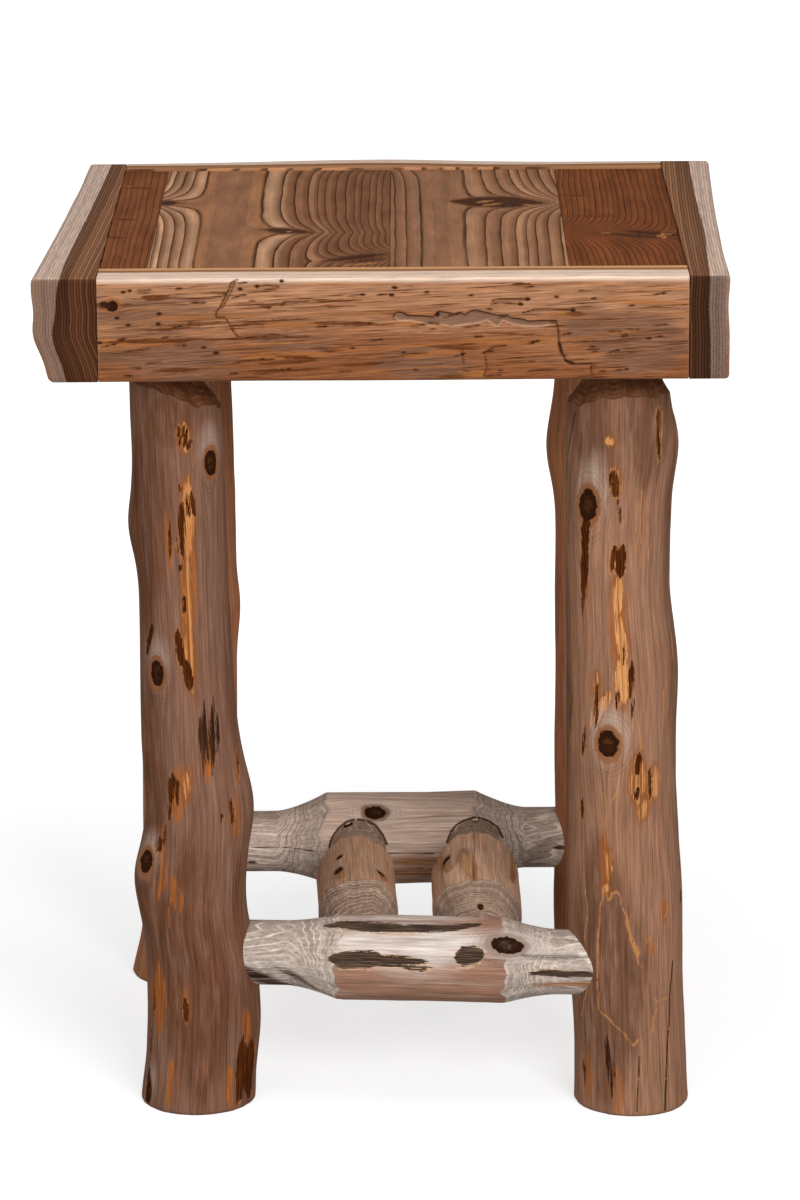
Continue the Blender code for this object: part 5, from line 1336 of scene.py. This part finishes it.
HOLES = ((435, 314.5, 440, 314.5, 4.6), (237, 289, 243, 290, 2.4), (279, 281, 284, 282, 2.6), (570, 310.5, 576, 310.5, 3.0),
         (524, 299.5, 531, 299.5, 2.6), (517, 304, 524, 305, 2.4), (254, 287, 260, 286.5, 2.6), (388, 295, 395, 295, 2.4),
         (391, 287.5, 398, 288, 2.4), (120, 292.5, 126, 292, 2.2), (127, 291, 132, 291, 2.2), (156, 314, 162, 314, 2.4),
         (155, 324.5, 161, 324, 2.4), (114, 318.5, 120, 318, 2.2), (125, 325.5, 131, 325, 2.2), (212, 353.5, 220, 353.5, 2.4),
         (96, 343, 103, 343, 2.0), (99, 303, 110, 307, 5.0))


def on_front(x, y):
    """A pixel of the front face as (height below the top, distance along the rail)."""
    point = photo_point(x, y, 1, FRONT_FACE)
    return point[2] - RAIL_TOP, FRONT_CORNER[0] - point[0]


def front_track(along, rise):
    """The worm track: millimetres inside its top and bottom edges, and below the top edge alone. Each
    edge is a line through a few pixels, read at a distance along the rail."""
    top, bottom = (np.array([on_front(*pixel) for pixel in edge])[::-1] for edge in (TRACK_TOP, TRACK_BOTTOM))
    below = np.interp(along, top[:, 1], top[:, 0]) - rise
    above = rise - np.interp(along, bottom[:, 1], bottom[:, 0])
    beyond = np.maximum(top[0, 1] - along, along - top[-1, 1])
    return np.minimum(np.minimum(below, above), -beyond) / MM, below / MM


def front_thickness(share, drop):
    return FRONT_RAIL_THICKNESS - FRONT_RAIL_HOLLOW * np.sin(2 * np.pi * share) ** 2


front_length = INNER_RIGHT - INNER_LEFT
front_marks = Marks(
    bark=path_strokes(CRACKS, on_front) + sliver_strokes(HOLES, on_front)
    + beetle_slots(51, 70, front_length, RAIL_HEIGHT),
    tan=sliver_strokes(((150, 318, 260, 316, 4), (385, 325, 470, 322, 4), (96, 344, 190, 342, 6),
                        (440, 341, 560, 343, 4), (540, 315, 600, 316, 4), (600, 300, 690, 304, 4), (240, 358, 330, 354, 6),
                        (400, 357, 470, 352, 5), (250, 326, 330, 324, 4), (460, 372, 488, 374, 5)), on_front),
    stain=sliver_strokes(((92, 305, 114, 307, 5), (96, 304, 150, 305, 2.5), (140, 298, 170, 298, 4), (120, 341, 192, 341, 4),
                          (98, 343, 215, 339, 2.6), (205, 340, 300, 337, 2.2), (300, 322, 396, 325, 2.6), (150, 326, 330, 318, 1.8),
                          (270, 356, 330, 360, 3.0), (330, 366, 400, 362, 2.4), (420, 345, 480, 349, 2.6), (560, 343, 640, 340, 2.0),
                          (640, 308, 690, 305, 2.0), (240, 372, 330, 369, 2.2), (130, 331, 215, 328, 1.8), (480, 332, 545, 336, 2.0),
                          (172, 343, 194, 339, 3), (250, 365, 330, 360, 3), (150, 372, 200, 370, 3),
                          (565, 314, 590, 315, 3), (512, 285, 531, 284, 3), (236, 306, 312, 303, 2)), on_front),
    knots=[Knot(on_front(112, 306.5), 0.0040, 0.0044)],
    warm=sliver_strokes(((96, 356, 240, 360, 30), (585, 340, 692, 345, 40), (380, 366, 470, 368, 18), (560, 322, 620, 326, 14),
                         (255, 344, 330, 346, 10), (96, 318, 215, 314, 14)), on_front))
rail_surface(Rail("front_rail", FRONT_CORNER, np.array((-1.0, 0, 0)), np.array((0, -1.0, 0)), front_thickness,
                  lambda share, drop: FRONT_SAP / MM + 0 * share, (0.00098, 0.09, 0.00098), 0.0030, 0.0004,
                  0.0036, FRONT_FINISH), front_marks, front_track)

# %% [markdown]
# ## The other three rails
# The side rails show their sawn ends at the front, where the sapwood is a pale band down the
# outer edge. The border between sapwood and heartwood is a smooth curve through a few stations
# along each rail. The rear rail swells behind the middle of the top.

# %% Side and rear rails
LEFT_FRONT, LEFT_REAR, LEFT_CURVE = 0.0463, 0.0298, 1.25
LEFT_WANE_HEIGHT, LEFT_WANE_SHARE, LEFT_WANE_CURVE = 0.052, 0.27, 1.9
RIGHT_FRONT, RIGHT_REAR, RIGHT_CURVE = 0.0288, 0.0387, 1.7
SIDE_LOBE, RIGHT_WAIST = 0.0010, 0.0014
REAR_END, REAR_MIDDLE, REAR_SHARE, REAR_LEFT_REACH, REAR_RIGHT_REACH = 0.0235, 0.0375, 0.48, 0.27, 0.17
LEFT_SAP = ((0.0, 20.5), (0.12, 18.5), (0.5, 17.5), (1.0, 17.5))
RIGHT_SAP = ((0.0, 16.0), (0.3, 14.0), (0.65, 11.5), (0.9, 13.5), (1.0, 14.5))
REAR_SAP = ((0.0, 10.0), (0.5, 17.0), (1.0, 10.0))


def left_thickness(share, drop):
    """Front thickness falling to the rear one along the rail, thinned towards the bottom edge."""
    rear = 1 - np.maximum(1 - share, 0) ** LEFT_CURVE
    wane = np.maximum(1 - (RAIL_HEIGHT - drop) / LEFT_WANE_HEIGHT, 0)
    lobes = SIDE_LOBE * np.sin(drop * 170 + 9 * share + 0.6) * np.clip(drop / 0.03, 0, 1)
    return (LEFT_FRONT + (LEFT_REAR - LEFT_FRONT) * rear) * (1 - LEFT_WANE_SHARE * wane ** LEFT_WANE_CURVE) + lobes


def right_thickness(share, drop):
    """Rear thickness falling to the front one along the rail, with a shallow waist below the top edge."""
    waist = RIGHT_WAIST * np.exp(-((drop - 0.024) / 0.013) ** 2) * (0.7 + 0.3 * np.cos(11 * share))
    return RIGHT_FRONT + (RIGHT_REAR - RIGHT_FRONT) * np.maximum(1 - share, 0) ** RIGHT_CURVE - waist


def rear_thickness(share, drop):
    """Thin ends with a bell between them that reaches further on the left than on the right."""
    reach = np.where(share < REAR_SHARE, REAR_LEFT_REACH, REAR_RIGHT_REACH)
    return REAR_END + (REAR_MIDDLE - REAR_END) * np.exp(-((share - REAR_SHARE) / reach) ** 2)


def left_sap(share, drop):
    """The border's depth: its stations along the rail, less up to 8 mm down the front end."""
    return station_curve(LEFT_SAP, 1, np.clip(share, 0, 1)) - 8.0 * np.clip(drop / RAIL_HEIGHT / 0.7, 0, 1) ** 0.8


def right_sap(share, drop):
    return station_curve(RIGHT_SAP, 1, np.clip(share, 0, 1)) - 1.0 * drop / RAIL_HEIGHT


def rear_sap(share, drop):
    return station_curve(REAR_SAP, 1, np.clip(share, 0, 1))


side_length = SIDE_REAR - SIDE_FRONT
SIDE_STEP = (0.0022, 0.035, 0.0016)
NORTH, EAST, SOUTH, WEST = (np.array(way, dtype=float) for way in ((0, 1, 0), (1, 0, 0), (0, -1, 0), (-1, 0, 0)))
for rail, seed, length in (
        (Rail("left_rail", np.array((INNER_LEFT, SIDE_FRONT, RAIL_TOP)), NORTH, WEST, left_thickness, left_sap,
              SIDE_STEP, 0.0034, 0.0020, 0.002, LEFT_FINISH), 52, side_length),
        (Rail("right_rail", np.array((INNER_RIGHT, SIDE_REAR, RAIL_TOP)), SOUTH, EAST, right_thickness, right_sap,
              SIDE_STEP, 0.0034, 0.0020, 0.002, RIGHT_FINISH), 53, side_length),
        (Rail("rear_rail", np.array((INNER_LEFT + CLEARANCE, REAR_INNER, RAIL_TOP)), EAST, NORTH, rear_thickness,
              rear_sap, (0.0016, 0.06, 0.0013), 0.0020, 0.0004, 0.002, REAR_FINISH), 54, front_length)):
    draw = np.random.default_rng(seed)
    streaks = [Stroke((-draw.uniform(0.01, 0.07), x), (-draw.uniform(0.01, 0.07), x + 0.06), 0.004)
               for x in draw.uniform(0.02, length - 0.09, 7)]
    rail_surface(rail, Marks(beetle_slots(seed, 70, length, RAIL_HEIGHT), streaks))

# %% [markdown]
# ## The hidden pieces
# Under the top, two bearers and two cleats of plain planed softwood carry the planks, held by
# steel screws. Their CAD solids already have the right shape, so they only get finishes that
# read the place in metres: pale streaks for the softwood, fine turning marks for the steel.

# %% Lumber and steel
lumber, paint, shader = new_finish("planed_softwood")
place = paint.node("ShaderNodeTexCoord", {}, "Object")
fibre = paint.use(FIBRE, Grain=paint.node("ShaderNodeVectorRotate", {"Vector": place, "Angle": np.pi / 2}, rotation_type="Y_AXIS"),
                  Across=110.0, Along=5.0)
colour = paint.ramp(fibre["Broad"], ((0.3, (0.46, 0.30, 0.16)), (0.5, (0.58, 0.41, 0.24)), (0.7, (0.66, 0.49, 0.31))))
colour = paint.mix(paint.span(fibre["Fine"], 0.5, 0.7, 0.0, 0.4), colour, (0.40, 0.24, 0.12))
paint.tree.links.new(colour, shader.inputs["Base Color"])
paint.tree.links.new(paint.span(fibre["Fine"], 0.3, 0.7, 0.5, 0.65), shader.inputs["Roughness"])
bump = paint.node("ShaderNodeBump", {"Height": fibre["Fine"], "Strength": 0.3, "Distance": 0.0003})
paint.tree.links.new(bump, shader.inputs["Normal"])

steel, paint, shader = new_finish("zinc_plated_steel")
place = paint.node("ShaderNodeTexCoord", {}, "Object")
turned = paint.noise(paint.stretch(place, 900.0, 900.0, 5200.0), 1.0, 2.0)
colour = paint.ramp(turned, ((0.3, (0.42, 0.40, 0.36)), (0.7, (0.62, 0.60, 0.55))))
paint.tree.links.new(colour, shader.inputs["Base Color"])
paint.tree.links.new(paint.span(turned, 0.3, 0.7, 0.28, 0.42), shader.inputs["Roughness"])
shader.inputs["Metallic"].default_value = 1.0

kept = [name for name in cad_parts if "bearer" in name or "cleat" in name or "screw" in name]
for name in kept:
    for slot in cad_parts[name].material_slots:
        slot.material = steel if "screw" in name else lumber
print(len(kept), "hidden pieces finished")

# %% [markdown]
# ## The floor
# A wide sheet of pale paper. To the camera it glows just enough to reach white in the open,
# and it still darkens under the feet, where the table keeps the lamps off it.

# %% Floor
FLOOR_HALF = 6.0
FLOOR_GREY = 0.42
FLOOR_GLOW = 0.71
CLEAR_NEAR, CLEAR_FAR = 0.45, 1.3
corners = np.array(((-1, -1, 0), (1, -1, 0), (1, 1, 0), (-1, 1, 0)), dtype=float) * FLOOR_HALF
floor_mesh = bpy.data.meshes.new("paper_floor")
floor_mesh.from_pydata(corners, [], [(0, 1, 2, 3)])
floor = bpy.data.objects.new("paper_floor", floor_mesh)
bpy.context.collection.objects.link(floor)
paper, paint, shader = new_finish("pale_paper")
spot = paint.node("ShaderNodeTexCoord", {}, "Object")
fleck = paint.noise(spot, 40.0, 2.0)
paint.tree.links.new(paint.mix(fleck, (FLOOR_GREY,) * 3, (FLOOR_GREY * 1.04,) * 3), shader.inputs["Base Color"])
shader.inputs["Roughness"].default_value = 0.9
shader.inputs["Specular IOR Level"].default_value = 0.1
path = paint.node("ShaderNodeLightPath", {}).node.outputs
shown = paint.math("ADD", path["Is Camera Ray"], paint.math("ADD", path["Is Glossy Ray"], path["Is Transmission Ray"]))
away = paint.node("ShaderNodeVectorMath", {0: spot}, "Value", operation="LENGTH")
glow = paint.math("MULTIPLY", paint.math("MINIMUM", shown, 1.0), paint.span(away, CLEAR_NEAR, CLEAR_FAR, FLOOR_GLOW, 1.0))
shader.inputs["Emission Color"].default_value = (1, 1, 1, 1)
paint.tree.links.new(glow, shader.inputs["Emission Strength"])
floor_mesh.materials.append(paper)
print("floor", 2 * FLOOR_HALF, "m wide")

# %% [markdown]
# ## The end
# The dressed table is meant to stay in the CAD's box, give or take a thin skin.

# %% Done
print("table dressed")
